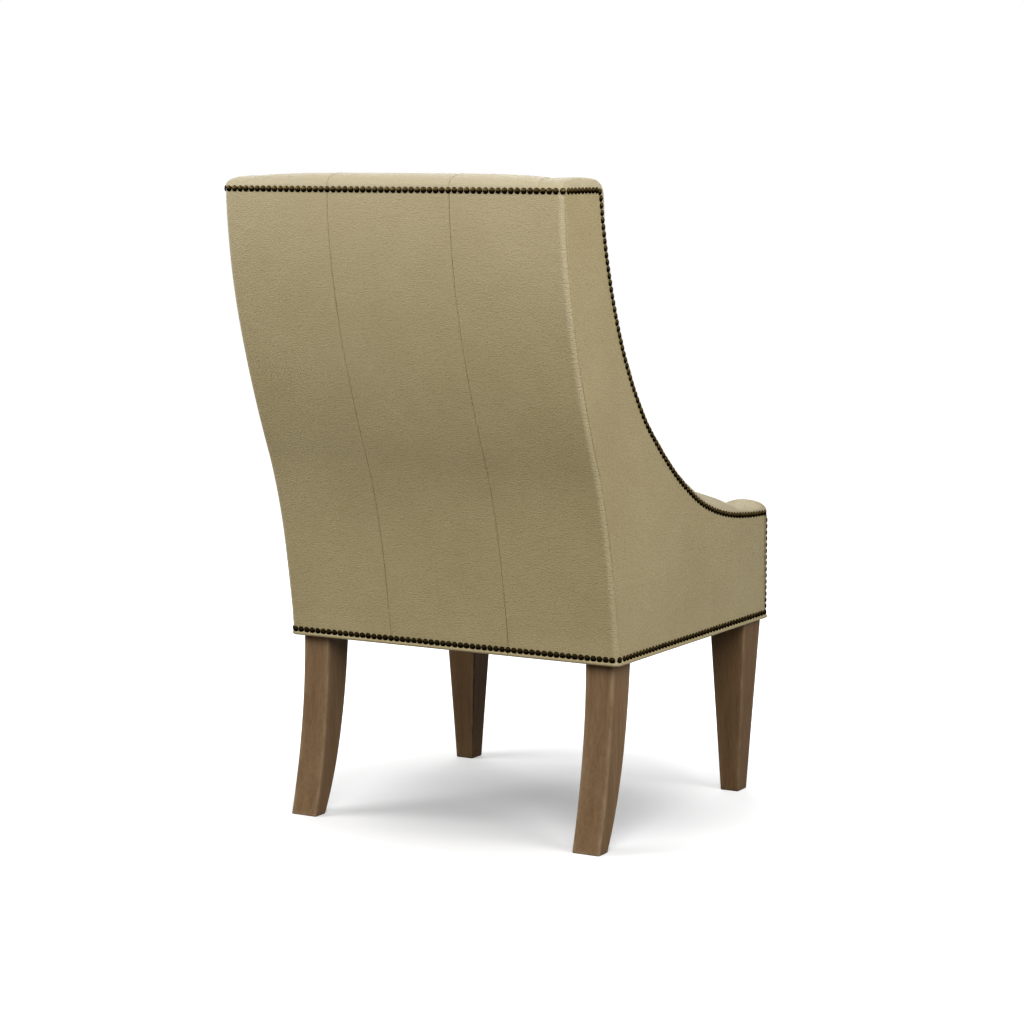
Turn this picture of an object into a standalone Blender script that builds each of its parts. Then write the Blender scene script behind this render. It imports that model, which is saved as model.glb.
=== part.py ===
"""Leather dining chair with winged back and sloping arms.

Metres, +Z up. The chair faces -Y. The origin is on the floor, midway across the
width and midway between the front of the arms and the top of the back.
"Left" is the sitter's left, +X.
"""

import math

import bmesh
import bpy
from mathutils import Vector

# Overall sizes
WIDTH = 0.6066  # over the leather of the two sides
DEPTH = 0.727  # front of the arms to the top of the back
BODY_BOTTOM = 0.2975  # lower edge of the leather
TOP_NAIL_HEIGHT = 1.036  # nail row across the top of the back
CREST_RISE = 0.024  # seams of the padded crest above the nail row

# Outside back, a curve that leans back from the waist
BACK_RAKE = 0.1805  # how far the bottom edge stands forward of the top
WAIST_HEIGHT = 0.6135
WAIST_RAKE = 0.1063  # how far the waist stands forward of the top
BOTTOM_LEAN = math.radians(81.3)
WAIST_LEAN = math.radians(66.7)
TOP_LEAN = math.radians(89.5)
BACK_FULLNESS = 0.32  # Bezier handle over chord
BACK_LEVELS = 15
BACK_CORNER = 0.009  # rounding of the rear upright corners
SIDE_SEAM = 0.014  # seam on the side, behind the corner
BACK_SEAM = 0.110  # seams of the outside and inside back, either side of the middle

# Side, whose edge runs from the wing down a scoop to the arm
WING_DEPTH = 0.119
WING_LEAN = math.radians(262.1)
ELBOW_FROM_BACK = 0.2945
ELBOW_HEIGHT = 0.650
ELBOW_LEAN = math.radians(222.9)
ARM_HEIGHT = 0.480  # nail row at the front of the arm
ARM_LEAN = math.radians(181.8)
UPPER_FULLNESS = 0.315
LOWER_FULLNESS = 0.43
SCOOP_STATIONS = 15
WING_CORNER = 0.008
ARM_CORNER = 0.004

# Padding over the edge of the sides
PAD_WIDTH = 0.073
PAD_STAND = 0.006  # straight leather above the nails
PAD_STAND_FRONT = 0.004
PAD_STAND_REAR = 0.0023
SCOOP_BULGE = 0.016
WING_BULGE = 0.0125
WING_REAR_ROUND = 0.032  # depth over which the wing pad rises from the back
SCOOP_SQUARENESS = 2.0
WING_SQUARENESS = 4.0
BLEND_LENGTH = 0.08  # from wing pad to scoop pad
PAD_STEPS = 6

# Inside back
BACK_THICKNESS_TOP = 0.078
BACK_THICKNESS_SEAT = 0.105
BACK_TUCK = 0.440  # lower end of the inside back
CREST_DROP = 0.045  # depth of the crest's inner rounding
CREST_STEPS = 7
CHANNEL_CROWN = 0.006  # swell of each panel between its seams
EDGE_FALL = 0.007  # drop of the crest towards the wings
EDGE_FALL_POWER = 12
EDGE_FADE = 0.20  # below the crest, where that drop has gone

# Seat
SEAT_SIDE_HEIGHT = 0.490
SEAT_CROWN = 0.018
SEAT_CROWN_POWER = 0.6
SEAT_SEAM_HEIGHT = 0.455  # seam between front band and seat
SEAT_ROLL = 0.030  # depth of the rounded front edge
SEAT_ROLL_STEPS = 4
SEAT_ROWS = 6

# Leather, boards and clearances
LEATHER = 0.002
GAP = 0.0003
BOARD = 0.003
SEAM_GAP = 0.0003

# Hidden frame
FRAME_STOCK = 0.022
RAIL_HEIGHT = 0.095
POST_DEPTH = 0.040
SCOOP_RAIL_WIDTH = 0.045
SCOOP_GUSSET = 0.10
CREST_RAIL_HEIGHT = 0.065
LOWER_RAIL_HEIGHT = 0.060
LOWER_RAIL_LEVEL = 0.455
CORNER_BLOCK_LEG = 0.085
CORNER_BLOCK_HEIGHT = 0.040
WOOD_LIFT = 0.0019  # frame above the lower edge of the leather

# Springs, webbing and cloth
SPRING_WIRE = 0.0034
SPRING_HALF_WIDTH = 0.024
SPRING_WAVES = 8
SPRING_WAVE_POINTS = 6
SPRING_ARCH = 0.015
SPRING_COUNT = 4
SPRING_MARGIN = 0.065  # outer springs in from the side of the seat
WEBBING = 0.0012
WEBBING_WIDTH = 0.060
WEBBING_COUNT = 3
DECK = 0.002
DUST_CLOTH = 0.0008

# Arm padding
ARM_FOOT = 0.420  # lower end of the arm padding
ARM_TUCK = 0.012  # how far the arm padding reaches behind the inside back

# Front legs, tapered on four sides
FRONT_LEG_TOP = 0.0625
FRONT_LEG_FOOT = 0.0312
FRONT_LEG_INSET = 0.0378  # leg centre in from the side
FRONT_LEG_SETBACK = 0.0415  # leg centre back from the front
LEG_SOFTENING = 0.0015

# Rear legs, swept back to the floor
REAR_LEG_WIDTH = 0.046
REAR_LEG_TOP = 0.059
REAR_LEG_FOOT = 0.0272
REAR_LEG_KICK = 0.0431
REAR_LEG_SETBACK = 0.0131  # rear face of the leg in from the leather at its top
REAR_KNEE_HEIGHT = 0.1485
FRONT_KNEE_HEIGHT = 0.110
FRONT_KNEE_REACH = 0.0146  # how far the front face bows behind its top
REAR_LEG_INSET = 0.0373
REAR_LEG_STEPS = 9

# Leg bolts
BOLT_RADIUS = 0.004
BOLT_HOLE = 0.0045
BOLT_SIDES = 6
HOLE_SIDES = 8
BOLT_DEPTH = 0.045  # into the leg
BOLT_WASHER = 0.010
BOLT_WASHER_THICK = 0.0015
BOLT_NUT = 0.0065
BOLT_NUT_THICK = 0.0065
BOLT_END = 0.004
BOLT_FROM_SIDE = 0.048
BOLT_FROM_FRONT = 0.0485
BOLT_FROM_BACK = 0.0535

# Nail heads
NAIL_HEAD = 0.0104
NAIL_NECK = 0.0052
NAIL_PITCH = 0.01095
NAIL_RISE = 0.0032
NAIL_NECK_RISE = 0.0012
BOTTOM_NAIL_LIFT = 0.009  # nail row above the lower edge of the leather
FRONT_NAIL_INSET = 0.0063  # nail column in from the side, on the arm fronts

# Levels and planes that follow from the sizes
HALF = WIDTH / 2
Y_FRONT = -DEPTH / 2
Y_BACK = DEPTH / 2
WOOD_BOTTOM = BODY_BOTTOM + WOOD_LIFT
RAIL_TOP = WOOD_BOTTOM + RAIL_HEIGHT
EDGE_FRONT = Y_FRONT + PAD_STAND_FRONT
BOARD_OUT = HALF - LEATHER - GAP
FRAME_OUT = BOARD_OUT - BOARD - GAP
FRAME_IN = FRAME_OUT - FRAME_STOCK
PAD_IN = HALF - PAD_WIDTH
SEAT_HALF = PAD_IN - GAP - SEAM_GAP / 2
BACK_FRAME = 2 * GAP + LEATHER + BOARD  # outside leather to the frame behind it
POST_FRONT = BACK_FRAME + POST_DEPTH
LEG_TOP = WOOD_BOTTOM - GAP
CREST_TOP = TOP_NAIL_HEIGHT + CREST_RISE

FINISHES = {
    "leather": ((0.42, 0.345, 0.205), 0.50, 0.0),
    "leg wood": ((0.18, 0.112, 0.06), 0.55, 0.0),
    "frame wood": ((0.55, 0.38, 0.20), 0.70, 0.0),
    "foam": ((0.80, 0.74, 0.52), 0.95, 0.0),
    "board": ((0.40, 0.30, 0.20), 0.90, 0.0),
    "steel": ((0.45, 0.45, 0.46), 0.35, 1.0),
    "bronze": ((0.10, 0.075, 0.03), 0.35, 1.0),
    "webbing": ((0.50, 0.42, 0.28), 0.90, 0.0),
    "cloth": ((0.03, 0.03, 0.03), 0.95, 0.0),
}

GROUPS = {
    "all": "chair",
    "leather": "covers",
    "leg wood": "legs",
    "frame wood": "frame",
    "foam": "padding",
    "board": "boards",
    "steel": "springs_and_bolts",
    "bronze": "nail_trim",
    "webbing": "webbing",
    "cloth": "underside",
}


def clear_scene():
    for old in list(bpy.data.objects):
        bpy.data.objects.remove(old, do_unlink=True)


def finish(name, kind):
    colour, roughness, metallic = FINISHES[kind]
    made = bpy.data.materials.new(name)
    made.use_nodes = True
    shader = made.node_tree.nodes["Principled BSDF"]
    shader.inputs["Base Color"].default_value = (*colour, 1.0)
    shader.inputs["Roughness"].default_value = roughness
    shader.inputs["Metallic"].default_value = metallic
    return made


def group(kind):
    """The empty that holds every piece of this kind, itself held by the chair's."""
    name = GROUPS[kind]
    found = bpy.data.objects.get(name)
    if found is None:
        found = bpy.data.objects.new(name, None)
        bpy.context.scene.collection.objects.link(found)
        if name != "chair":
            found.parent = group("all")
    return found


def place(name, data, kind, origin):
    """An object with its origin here, in its group, and with its own material."""
    made = bpy.data.objects.new(name, data)
    bpy.context.scene.collection.objects.link(made)
    data.materials.append(finish(name, kind))
    made.parent = group(kind)
    made.location = origin
    return made


def base_middle(points):
    """Middle of the underside of the box round the points."""
    lows = [min(point[i] for point in points) for i in range(3)]
    highs = [max(point[i] for point in points) for i in range(3)]
    return Vector(((lows[0] + highs[0]) / 2, (lows[1] + highs[1]) / 2, lows[2]))


def add_body(name, kind, points, faces):
    """One closed solid from points and faces, shaded smooth up to its sharp edges."""
    origin = base_middle(points)
    body = bmesh.new()
    corners = [body.verts.new(Vector(point) - origin) for point in points]
    for face in faces:
        body.faces.new([corners[i] for i in face])
    bmesh.ops.recalc_face_normals(body, faces=body.faces)
    mesh = bpy.data.meshes.new(name)
    body.to_mesh(mesh)
    body.free()
    mesh.shade_smooth()
    mesh.set_sharp_from_angle(angle=math.radians(35))
    return place(name, mesh, kind, origin)


def split_quad(a, b, c, d):
    return [(a, b, c), (a, c, d)]


def loft(name, kind, rings):
    """A solid through closed rings of equal count, capped at both ends."""
    count = len(rings[0])
    points = [point for ring in rings for point in ring]
    faces = []
    for row in range(len(rings) - 1):
        low = row * count
        high = low + count
        for i in range(count):
            j = (i + 1) % count
            faces += split_quad(low + i, low + j, high + j, high + i)
    faces.append(tuple(range(count)))
    faces.append(tuple(range(len(points) - count, len(points))))
    return add_body(name, kind, points, faces)


def skin(name, kind, outer, inner):
    """A sheet between two grids of equal shape, closed round its border."""
    rows = len(outer)
    columns = len(outer[0])
    points = [point for grid in (outer, inner) for row in grid for point in row]
    back = rows * columns
    faces = []
    for r in range(rows - 1):
        for c in range(columns - 1):
            a = r * columns + c
            quad = (a, a + 1, a + columns + 1, a + columns)
            faces += split_quad(*quad)
            faces += split_quad(*(i + back for i in quad))
    border = [c for c in range(columns)]
    border += [r * columns + columns - 1 for r in range(1, rows)]
    border += [(rows - 1) * columns + c for c in range(columns - 2, -1, -1)]
    border += [r * columns for r in range(rows - 2, 0, -1)]
    for i, here in enumerate(border):
        there = border[(i + 1) % len(border)]
        faces += split_quad(here, there, there + back, here + back)
    return add_body(name, kind, points, faces)


def extrude_x(name, kind, outline, x_from, x_to):
    """A flat board in the side plane: the outline is (y, z) points."""
    rings = [[(x, y, z) for y, z in outline] for x in (x_from, x_to)]
    return loft(name, kind, rings)


def box(name, kind, low, high):
    ring = [(low[0], low[1]), (high[0], low[1]), (high[0], high[1]), (low[0], high[1])]
    return loft(name, kind, [[(x, y, z) for x, y in ring] for z in (low[2], high[2])])


def bezier(start, start_handle, end_handle, end, steps):
    points = []
    for i in range(steps + 1):
        t = i / steps
        s = 1 - t
        first = start * s**3 + start_handle * 3 * s**2 * t
        points.append(first + end_handle * 3 * s * t**2 + end * t**3)
    return points


def direction(angle):
    return Vector((math.cos(angle), math.sin(angle)))


def swept_curve(start, start_angle, end, end_angle, fullness, steps=60):
    """A Bezier between two points that leaves and arrives at the given angles."""
    handle = (end - start).length * fullness
    first = start + direction(start_angle) * handle
    last = end - direction(end_angle) * handle
    return bezier(start, first, last, end, steps)


def along(points, distance):
    """The point at this distance along an open run of points, and the run's direction."""
    left = distance
    for here, there in zip(points, points[1:]):
        step = (there - here).length
        if left <= step or there is points[-1]:
            heading = (there - here).normalized()
            return here + heading * left, heading
        left -= step


def run_length(points):
    return sum((b - a).length for a, b in zip(points, points[1:]))


def rise_between(low, high, value):
    """0 below low, 1 above high, an even S between."""
    t = min(max((value - low) / (high - low), 0.0), 1.0)
    return t * t * (3 - 2 * t)


# The outside back


def back_curve():
    bottom = Vector((Y_BACK - BACK_RAKE, BODY_BOTTOM))
    waist = Vector((Y_BACK - WAIST_RAKE, WAIST_HEIGHT))
    top = Vector((Y_BACK, TOP_NAIL_HEIGHT))
    lower = swept_curve(bottom, BOTTOM_LEAN, waist, WAIST_LEAN, BACK_FULLNESS)
    upper = swept_curve(waist, WAIST_LEAN, top, TOP_LEAN, BACK_FULLNESS)
    return lower + upper[1:]


def level_heights():
    step = (TOP_NAIL_HEIGHT - BODY_BOTTOM) / (BACK_LEVELS - 1)
    return [BODY_BOTTOM + i * step for i in range(BACK_LEVELS)]


def height_to_y(points, z):
    """Y of a run of (y, z) points that climbs steadily, at one height."""
    for low, high in zip(points, points[1:]):
        if z <= high[1] or high is points[-1]:
            share = (z - low[1]) / (high[1] - low[1])
            return low[0] + (high[0] - low[0]) * share


LEVELS = level_heights()
BACK_POINTS = [(height_to_y(back_curve(), z), z) for z in LEVELS]


def back_y(z):
    """Leather surface of the outside back, straight between the levels."""
    return height_to_y(BACK_POINTS, z)


def levels(low, high):
    """The two heights and every level between them."""
    near = 0.002
    return [low] + [z for z in LEVELS if low + near < z < high - near] + [high]


def back_bar(name, kind, x_from, x_to, near, far, low, high):
    """A piece that follows the back, from near to far in front of its leather."""
    rings = []
    for z in levels(low, high):
        y = back_y(z)
        rings.append([(x_from, y - near, z), (x_to, y - near, z), (x_to, y - far, z), (x_from, y - far, z)])
    return loft(name, kind, rings)


def back_thickness(z):
    share = rise_between(SEAT_SIDE_HEIGHT, CREST_TOP - CREST_DROP, z)
    return BACK_THICKNESS_SEAT + (BACK_THICKNESS_TOP - BACK_THICKNESS_SEAT) * share


def inside_y(z):
    """Front of the inside back at its seams."""
    return back_y(z) - back_thickness(z)


# The edge of a side, from the rear top corner round to the foot of the arm's front


def corner_run(before, corner, after, steps):
    """A rounded corner between two points that lie either side of it."""
    points = []
    for i in range(steps + 1):
        t = i / steps
        points.append(before * (1 - t) ** 2 + corner * 2 * t * (1 - t) + after * t * t)
    return points


class Station:
    """A place on the side's edge: where it is, which way is out, and how the pad swells."""

    def __init__(self, place, stand, bulge, squareness, from_back=1.0):
        self.place = place
        self.stand = stand
        self.bulge = bulge
        self.squareness = squareness
        self.from_back = from_back
        self.out = Vector((0.0, 1.0))

    def at(self, offset):
        return self.place + self.out * offset


def scoop_curve():
    wing = Vector((Y_BACK - WING_DEPTH, TOP_NAIL_HEIGHT))
    elbow = Vector((Y_BACK - ELBOW_FROM_BACK, ELBOW_HEIGHT))
    arm = Vector((EDGE_FRONT, ARM_HEIGHT))
    upper = swept_curve(wing, WING_LEAN, elbow, ELBOW_LEAN, UPPER_FULLNESS)
    lower = swept_curve(elbow, ELBOW_LEAN, arm, ARM_LEAN, LOWER_FULLNESS)
    return upper + lower[1:]


def swell(depth, inset):
    """How far the wing pad has risen at this depth in from the back."""
    reach = WING_REAR_ROUND - inset
    left = max(1 - max(depth - inset, 0.0) / reach, 0.0)
    return math.sqrt(1 - left * left)


def top_station(depth, inset):
    risen = swell(depth, inset)
    stand = PAD_STAND_REAR + (PAD_STAND - PAD_STAND_REAR) * risen
    place = Vector((Y_BACK - max(depth, inset), TOP_NAIL_HEIGHT))
    return Station(place, stand, WING_BULGE * risen, WING_SQUARENESS, max(depth - inset, 0.0))


def edge_stations(inset=0.0):
    """Every station of the side's edge. The inset is how deep under the leather it is for."""
    scoop = scoop_curve()
    length = run_length(scoop)
    wing_tip = scoop[0]
    arm_tip = scoop[-1]
    tuck_depth = BACK_THICKNESS_TOP - ARM_TUCK
    depths = [0.0, 0.003, 0.009, 0.018, WING_REAR_ROUND, POST_FRONT, tuck_depth, 0.092]
    stations = [top_station(depth, inset) for depth in depths]
    wing_start = wing_tip + Vector((WING_CORNER, 0.0))
    wing_end = along(scoop, WING_CORNER)[0]
    for place in corner_run(wing_start, wing_tip, wing_end, 3):
        stations.append(Station(place, PAD_STAND, WING_BULGE, WING_SQUARENESS))
    last = length - ARM_CORNER
    for i in range(1, SCOOP_STATIONS + 1):
        distance = WING_CORNER + (last - WING_CORNER) * i / SCOOP_STATIONS
        blend = rise_between(0.0, BLEND_LENGTH, distance)
        bulge = WING_BULGE + (SCOOP_BULGE - WING_BULGE) * blend
        squareness = WING_SQUARENESS + (SCOOP_SQUARENESS - WING_SQUARENESS) * blend
        stations.append(Station(along(scoop, distance)[0], PAD_STAND, bulge, squareness))
    arm_end = arm_tip - Vector((0.0, ARM_CORNER))
    turn = corner_run(stations[-1].place, arm_tip, arm_end, 4)
    for i, place in enumerate(turn[1:], 1):
        share = i / 4
        stand = PAD_STAND + (PAD_STAND_FRONT - PAD_STAND) * share
        stations.append(Station(place, stand, SCOOP_BULGE * (1 - share) ** 1.5, SCOOP_SQUARENESS))
    halfway = (ARM_HEIGHT + ARM_FOOT) / 2
    for z in (halfway, ARM_FOOT + ARM_CORNER, ARM_FOOT - ARM_CORNER, BODY_BOTTOM):
        stations.append(Station(Vector((EDGE_FRONT, z)), PAD_STAND_FRONT, 0.0, SCOOP_SQUARENESS))
    set_outward(stations)
    return stations


def set_outward(stations):
    """Points each station away from the chair, square to the edge."""
    places = [station.place for station in stations]
    for i, station in enumerate(stations):
        before = places[max(i - 1, 0)]
        after = places[min(i + 1, len(places) - 1)]
        heading = (after - before).normalized()
        station.out = Vector((-heading.y, heading.x)) * -1
    for station in stations[:8]:
        station.out = Vector((0.0, 1.0))
    for station in stations[-5:]:
        station.out = Vector((-1.0, 0.0))


def foot_places(stations, last):
    """Where the inner face of each station ends: behind the inside back, then under the seat."""
    start = 6
    top = Vector((Y_BACK - BACK_THICKNESS_TOP + ARM_TUCK, TOP_NAIL_HEIGHT + GAP))
    route = [top]
    for z in reversed(levels(ARM_FOOT, TOP_NAIL_HEIGHT - FRAME_STOCK)):
        route.append(Vector((inside_y(z) + ARM_TUCK, z)))
    route.append(Vector((EDGE_FRONT + ARM_TUCK, ARM_FOOT)))
    total = run_length(route)
    span = run_length([station.place for station in stations[start : last + 1]])
    feet = []
    for i, station in enumerate(stations):
        if i < start:
            feet.append(station.at(GAP))
        elif i <= last:
            passed = run_length([s.place for s in stations[start : i + 1]])
            feet.append(along(route, total * passed / span)[0])
        else:
            feet.append(station.at(2 * GAP))
    return feet


def outer_x(station, inset):
    """Outer face of the side pad, which rounds in at the rear corner."""
    radius = BACK_CORNER - inset
    past = min(station.from_back, radius)
    return HALF - inset - radius + math.sqrt(radius**2 - (radius - past) ** 2)


def pad_section(station, foot, inset, start):
    """Points over the pad, from the nail row across to the inner face and down to its foot."""
    edge = outer_x(station, inset)
    inner = PAD_IN + inset
    middle = (edge + inner) / 2
    reach = (edge - inner) / 2
    power = 2 / station.squareness
    section = [(edge, station.at(start))]
    for i in range(PAD_STEPS + 1):
        turn = math.pi * i / PAD_STEPS
        across = math.copysign(abs(math.cos(turn)) ** power, math.cos(turn))
        up = math.sin(turn) ** power if 0 < i < PAD_STEPS else 0.0
        lift = station.stand - inset + station.bulge * up
        section.append((middle + reach * across, station.at(lift)))
    shoulder = section[-1][1]
    section.append((inner, (shoulder + foot) / 2))
    section.append((inner, foot))
    return section


def in_space(section, side):
    return [(side * x, place.x, place.y) for x, place in section]


def arm_cover(name, side):
    stations = edge_stations()
    lining = edge_stations(LEATHER)
    feet = foot_places(stations, len(stations) - 3)
    start = SEAM_GAP / 2
    outer = []
    inner = []
    for i, foot in enumerate(feet):
        outer.append(in_space(pad_section(stations[i], foot, 0.0, start), side))
        inner.append(in_space(pad_section(lining[i], foot, LEATHER, start), side))
    return skin(name, "leather", outer, inner)


def arm_foam(name, side):
    inset = LEATHER + GAP
    stations = edge_stations(inset)
    last = len(stations) - 3
    feet = foot_places(stations, last)
    rings = []
    for i in range(1, last + 1):
        station = stations[i]
        section = pad_section(station, feet[i], inset, GAP)
        shallow = i <= 6
        under = (PAD_IN + FRAME_IN) / 2 if shallow else FRAME_IN - GAP
        section.append((under, feet[i]))
        section.append((FRAME_IN - GAP, station.at(GAP)))
        rings.append(in_space(section, side))
    return loft(name, "foam", rings)


def edge_outline(offset, first, last):
    """(y, z) along the side's edge, moved out by the offset."""
    return [tuple(station.at(offset)) for station in edge_stations()[first:last]]


def side_sheet(name, kind, side, x_from, x_to, rear, edge, bottom):
    """A flat sheet with the side's outline: its rear edge follows the back."""
    top = TOP_NAIL_HEIGHT + edge
    outline = [(back_y(z) - rear, z) for z in levels(bottom, top)]
    outline += edge_outline(edge, 4, -1)
    outline.append((EDGE_FRONT - edge, bottom))
    return extrude_x(name, kind, outline, side * x_from, side * x_to)


def scoop_rail(name, side):
    """A curved rail under the side's edge, from the back post down to the side rail."""
    stations = edge_stations()
    post = POST_FRONT + GAP
    outline = [(back_y(TOP_NAIL_HEIGHT) - post, TOP_NAIL_HEIGHT)]
    outline += edge_outline(0.0, 6, -1)
    outline.append((EDGE_FRONT, RAIL_TOP + GAP))
    outline.append((EDGE_FRONT + SCOOP_RAIL_WIDTH, RAIL_TOP + GAP))
    inner = [station.at(-SCOOP_RAIL_WIDTH) for station in stations[14:-8]]
    outline += [tuple(place) for place in reversed(inner)]
    for z in levels(TOP_NAIL_HEIGHT - SCOOP_GUSSET, TOP_NAIL_HEIGHT)[:-1]:
        outline.append((back_y(z) - post, z))
    return extrude_x(name, "frame wood", outline, side * FRAME_IN, side * FRAME_OUT)


# Outside back panels


def corner_plan(y, side, seam):
    """Plan outline of a side panel of the outside back, which turns the rear corner."""
    steps = 4
    outer = [(seam, y)]
    inner = [(seam, y - LEATHER)]
    for i in range(steps + 1):
        turn = math.pi / 2 * i / steps
        for run, radius in ((outer, BACK_CORNER), (inner, BACK_CORNER - LEATHER)):
            x = HALF - BACK_CORNER + radius * math.sin(turn)
            run.append((x, y - BACK_CORNER + radius * math.cos(turn)))
    outer.append((HALF, y - SIDE_SEAM))
    inner.append((HALF - LEATHER, y - SIDE_SEAM))
    return [(side * px, py) for px, py in outer + inner[::-1]]


def outside_back():
    top = TOP_NAIL_HEIGHT - SEAM_GAP / 2
    edge = BACK_SEAM - SEAM_GAP / 2
    back_bar("outside_back_centre", "leather", -edge, edge, 0.0, LEATHER, BODY_BOTTOM, top)
    for word, side in (("left", 1), ("right", -1)):
        rings = []
        for z in levels(BODY_BOTTOM, top):
            plan = corner_plan(back_y(z), side, BACK_SEAM + SEAM_GAP / 2)
            rings.append([(x, y, z) for x, y in plan])
        loft("outside_back_" + word, "leather", rings)


# Inside back


def crest_row(turn, inset):
    """A place on the crest's rounding, 0 at the back and a half turn at the front, and its way out."""
    half = BACK_THICKNESS_TOP / 2
    middle = Y_BACK - half
    stand = TOP_NAIL_HEIGHT + PAD_STAND
    y = middle + (half - inset) * math.cos(turn)
    if turn <= math.pi / 2:
        z = stand + (CREST_TOP - stand - inset) * math.sin(turn)
    else:
        z = CREST_TOP - CREST_DROP + (CREST_DROP - inset) * math.sin(turn)
    return Vector((y, z)), direction(turn), math.sin(turn)


def back_rows(inset, start):
    """The inside back's profile from the rear nail row over the crest and down to the tuck.

    Each row is its place, its way out and how fully the panels swell there.
    """
    rows = [(Vector((Y_BACK - inset, TOP_NAIL_HEIGHT + start)), Vector((1.0, 0.0)), 0.0)]
    for i in range(CREST_STEPS + 1):
        rows.append(crest_row(math.pi * i / CREST_STEPS, inset))
    forward = Vector((-1.0, 0.0))
    joint = CREST_TOP - CREST_DROP
    for z in reversed(levels(BACK_TUCK, joint)[:-1]):
        full = rise_between(SEAT_SIDE_HEIGHT + SEAT_CROWN, SEAT_SIDE_HEIGHT + 0.1, z)
        rows.append((Vector((inside_y(z) + inset, z)), forward, full))
    crest_rows = len(rows) - len(levels(BACK_TUCK, joint)) + 1
    shares = []
    for i, (place, out, full) in enumerate(rows):
        if i < crest_rows - 1:
            shares.append((place, out, full * 0.25, full))
        else:
            edge = rise_between(joint - EDGE_FADE, joint, place.y)
            shares.append((place, out, full if i >= crest_rows else 1.0, edge))
    return shares


def panel_swell(x):
    """Crown of the panel at x, none at its seams."""
    if abs(x) <= BACK_SEAM:
        share = abs(x) / BACK_SEAM
    else:
        middle = (BACK_SEAM + SEAT_HALF) / 2
        share = abs(abs(x) - middle) / (SEAT_HALF - middle)
    return CHANNEL_CROWN * (1 - min(share, 1.0) ** 2.5)


def back_point(row, x):
    place, out, swelling, falling = row
    fall = EDGE_FALL * (abs(x) / SEAT_HALF) ** EDGE_FALL_POWER
    moved = place + out * (panel_swell(x) * swelling - fall * falling)
    return (x, moved.x, moved.y)


def side_columns():
    steps = 5
    start = BACK_SEAM + SEAM_GAP / 2
    return [start + (SEAT_HALF - start) * i / steps for i in range(steps + 1)]


def centre_columns():
    edge = BACK_SEAM - SEAM_GAP / 2
    return [-edge, -0.085, -0.045, 0.0, 0.045, 0.085, edge]


def inside_back():
    start = SEAM_GAP / 2
    outer_rows = back_rows(0.0, start)
    inner_rows = back_rows(LEATHER, start)
    columns = {"centre": centre_columns(), "left": side_columns()}
    columns["right"] = [-x for x in reversed(columns["left"])]
    for word, xs in columns.items():
        outer = [[back_point(row, x) for x in xs] for row in outer_rows]
        inner = [[back_point(row, x) for x in xs] for row in inner_rows]
        skin("inside_back_" + word, "leather", outer, inner)


def back_foam():
    """Padding of the back: over the crest rail and down in front of the webbing."""
    inset = LEATHER + GAP
    rear = POST_FRONT + 2 * GAP + WEBBING
    under = TOP_NAIL_HEIGHT + GAP
    rows = back_rows(inset, GAP)
    behind = [(back_y(z) - rear, z) for z in levels(BACK_TUCK, under)]
    right = [-x for x in reversed(side_columns())]
    rings = []
    for x in right + centre_columns() + side_columns():
        ring = [back_point(row, x) for row in rows]
        ring += [(x, y, z) for y, z in behind]
        rings.append(ring)
    loft("back_foam", "foam", rings)


# Seat


def seat_columns():
    shares = (-1.0, -0.92, -0.78, -0.55, -0.28, 0.0, 0.28, 0.55, 0.78, 0.92, 1.0)
    return [SEAT_HALF * share for share in shares]


def seat_full_height(x, share):
    """Height of the seat's top at x. The share runs from the front roll to the back."""
    across = (1 - min((x / SEAT_HALF) ** 2, 1.0)) ** SEAT_CROWN_POWER
    lengthways = 1 - 0.35 * (2 * share - 0.9) ** 2
    return SEAT_SIDE_HEIGHT + SEAT_CROWN * across * lengthways


def seat_point(x, row, inset):
    """A point of the seat's top surface, or under it by the inset."""
    if row <= SEAT_ROLL_STEPS:
        turn = math.pi / 2 * row / SEAT_ROLL_STEPS
        height = seat_full_height(x, 0.0) - inset - SEAT_SEAM_HEIGHT
        z = SEAT_SEAM_HEIGHT + height * math.sin(turn)
        y = Y_FRONT + inset + (SEAT_ROLL - inset) * (1 - math.cos(turn))
        return (x, y, z)
    share = (row - SEAT_ROLL_STEPS) / SEAT_ROWS
    z = seat_full_height(x, share) - inset
    front = Y_FRONT + SEAT_ROLL
    return (x, front + (inside_y(z) - 2 * GAP - front) * share, z)


def seat_cover():
    rows = range(SEAT_ROLL_STEPS + SEAT_ROWS + 1)
    outer = [[seat_point(x, row, 0.0) for x in seat_columns()] for row in rows]
    inner = [[seat_point(x, row, LEATHER) for x in seat_columns()] for row in rows]
    skin("seat_cover", "leather", outer, inner)


def spring_lift(y):
    """Underside of the springs' wire at y, over the rails and arched between them."""
    low, high = spring_ends()
    share = (2 * y - low - high) / (high - low)
    return RAIL_TOP + GAP + SPRING_ARCH * max(1 - share * share, 0.0)


def spring_ends():
    front = EDGE_FRONT + FRAME_STOCK / 2
    rear = back_y(RAIL_TOP) - BACK_FRAME - FRAME_STOCK / 2
    return front, rear


def deck_height(y):
    return spring_lift(y) + SPRING_WIRE + 2 * GAP


def deck_stations():
    """Y of each row of the deck: those under the seat padding, then one at the back."""
    rows = SEAT_ROLL_STEPS + SEAT_ROWS
    front = EDGE_FRONT + GAP
    pad_rear = inside_y(RAIL_TOP) - 2 * GAP
    stations = [front + (pad_rear - front) * i / rows for i in range(rows + 1)]
    return stations + [back_y(RAIL_TOP) - BACK_FRAME - GAP]


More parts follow.
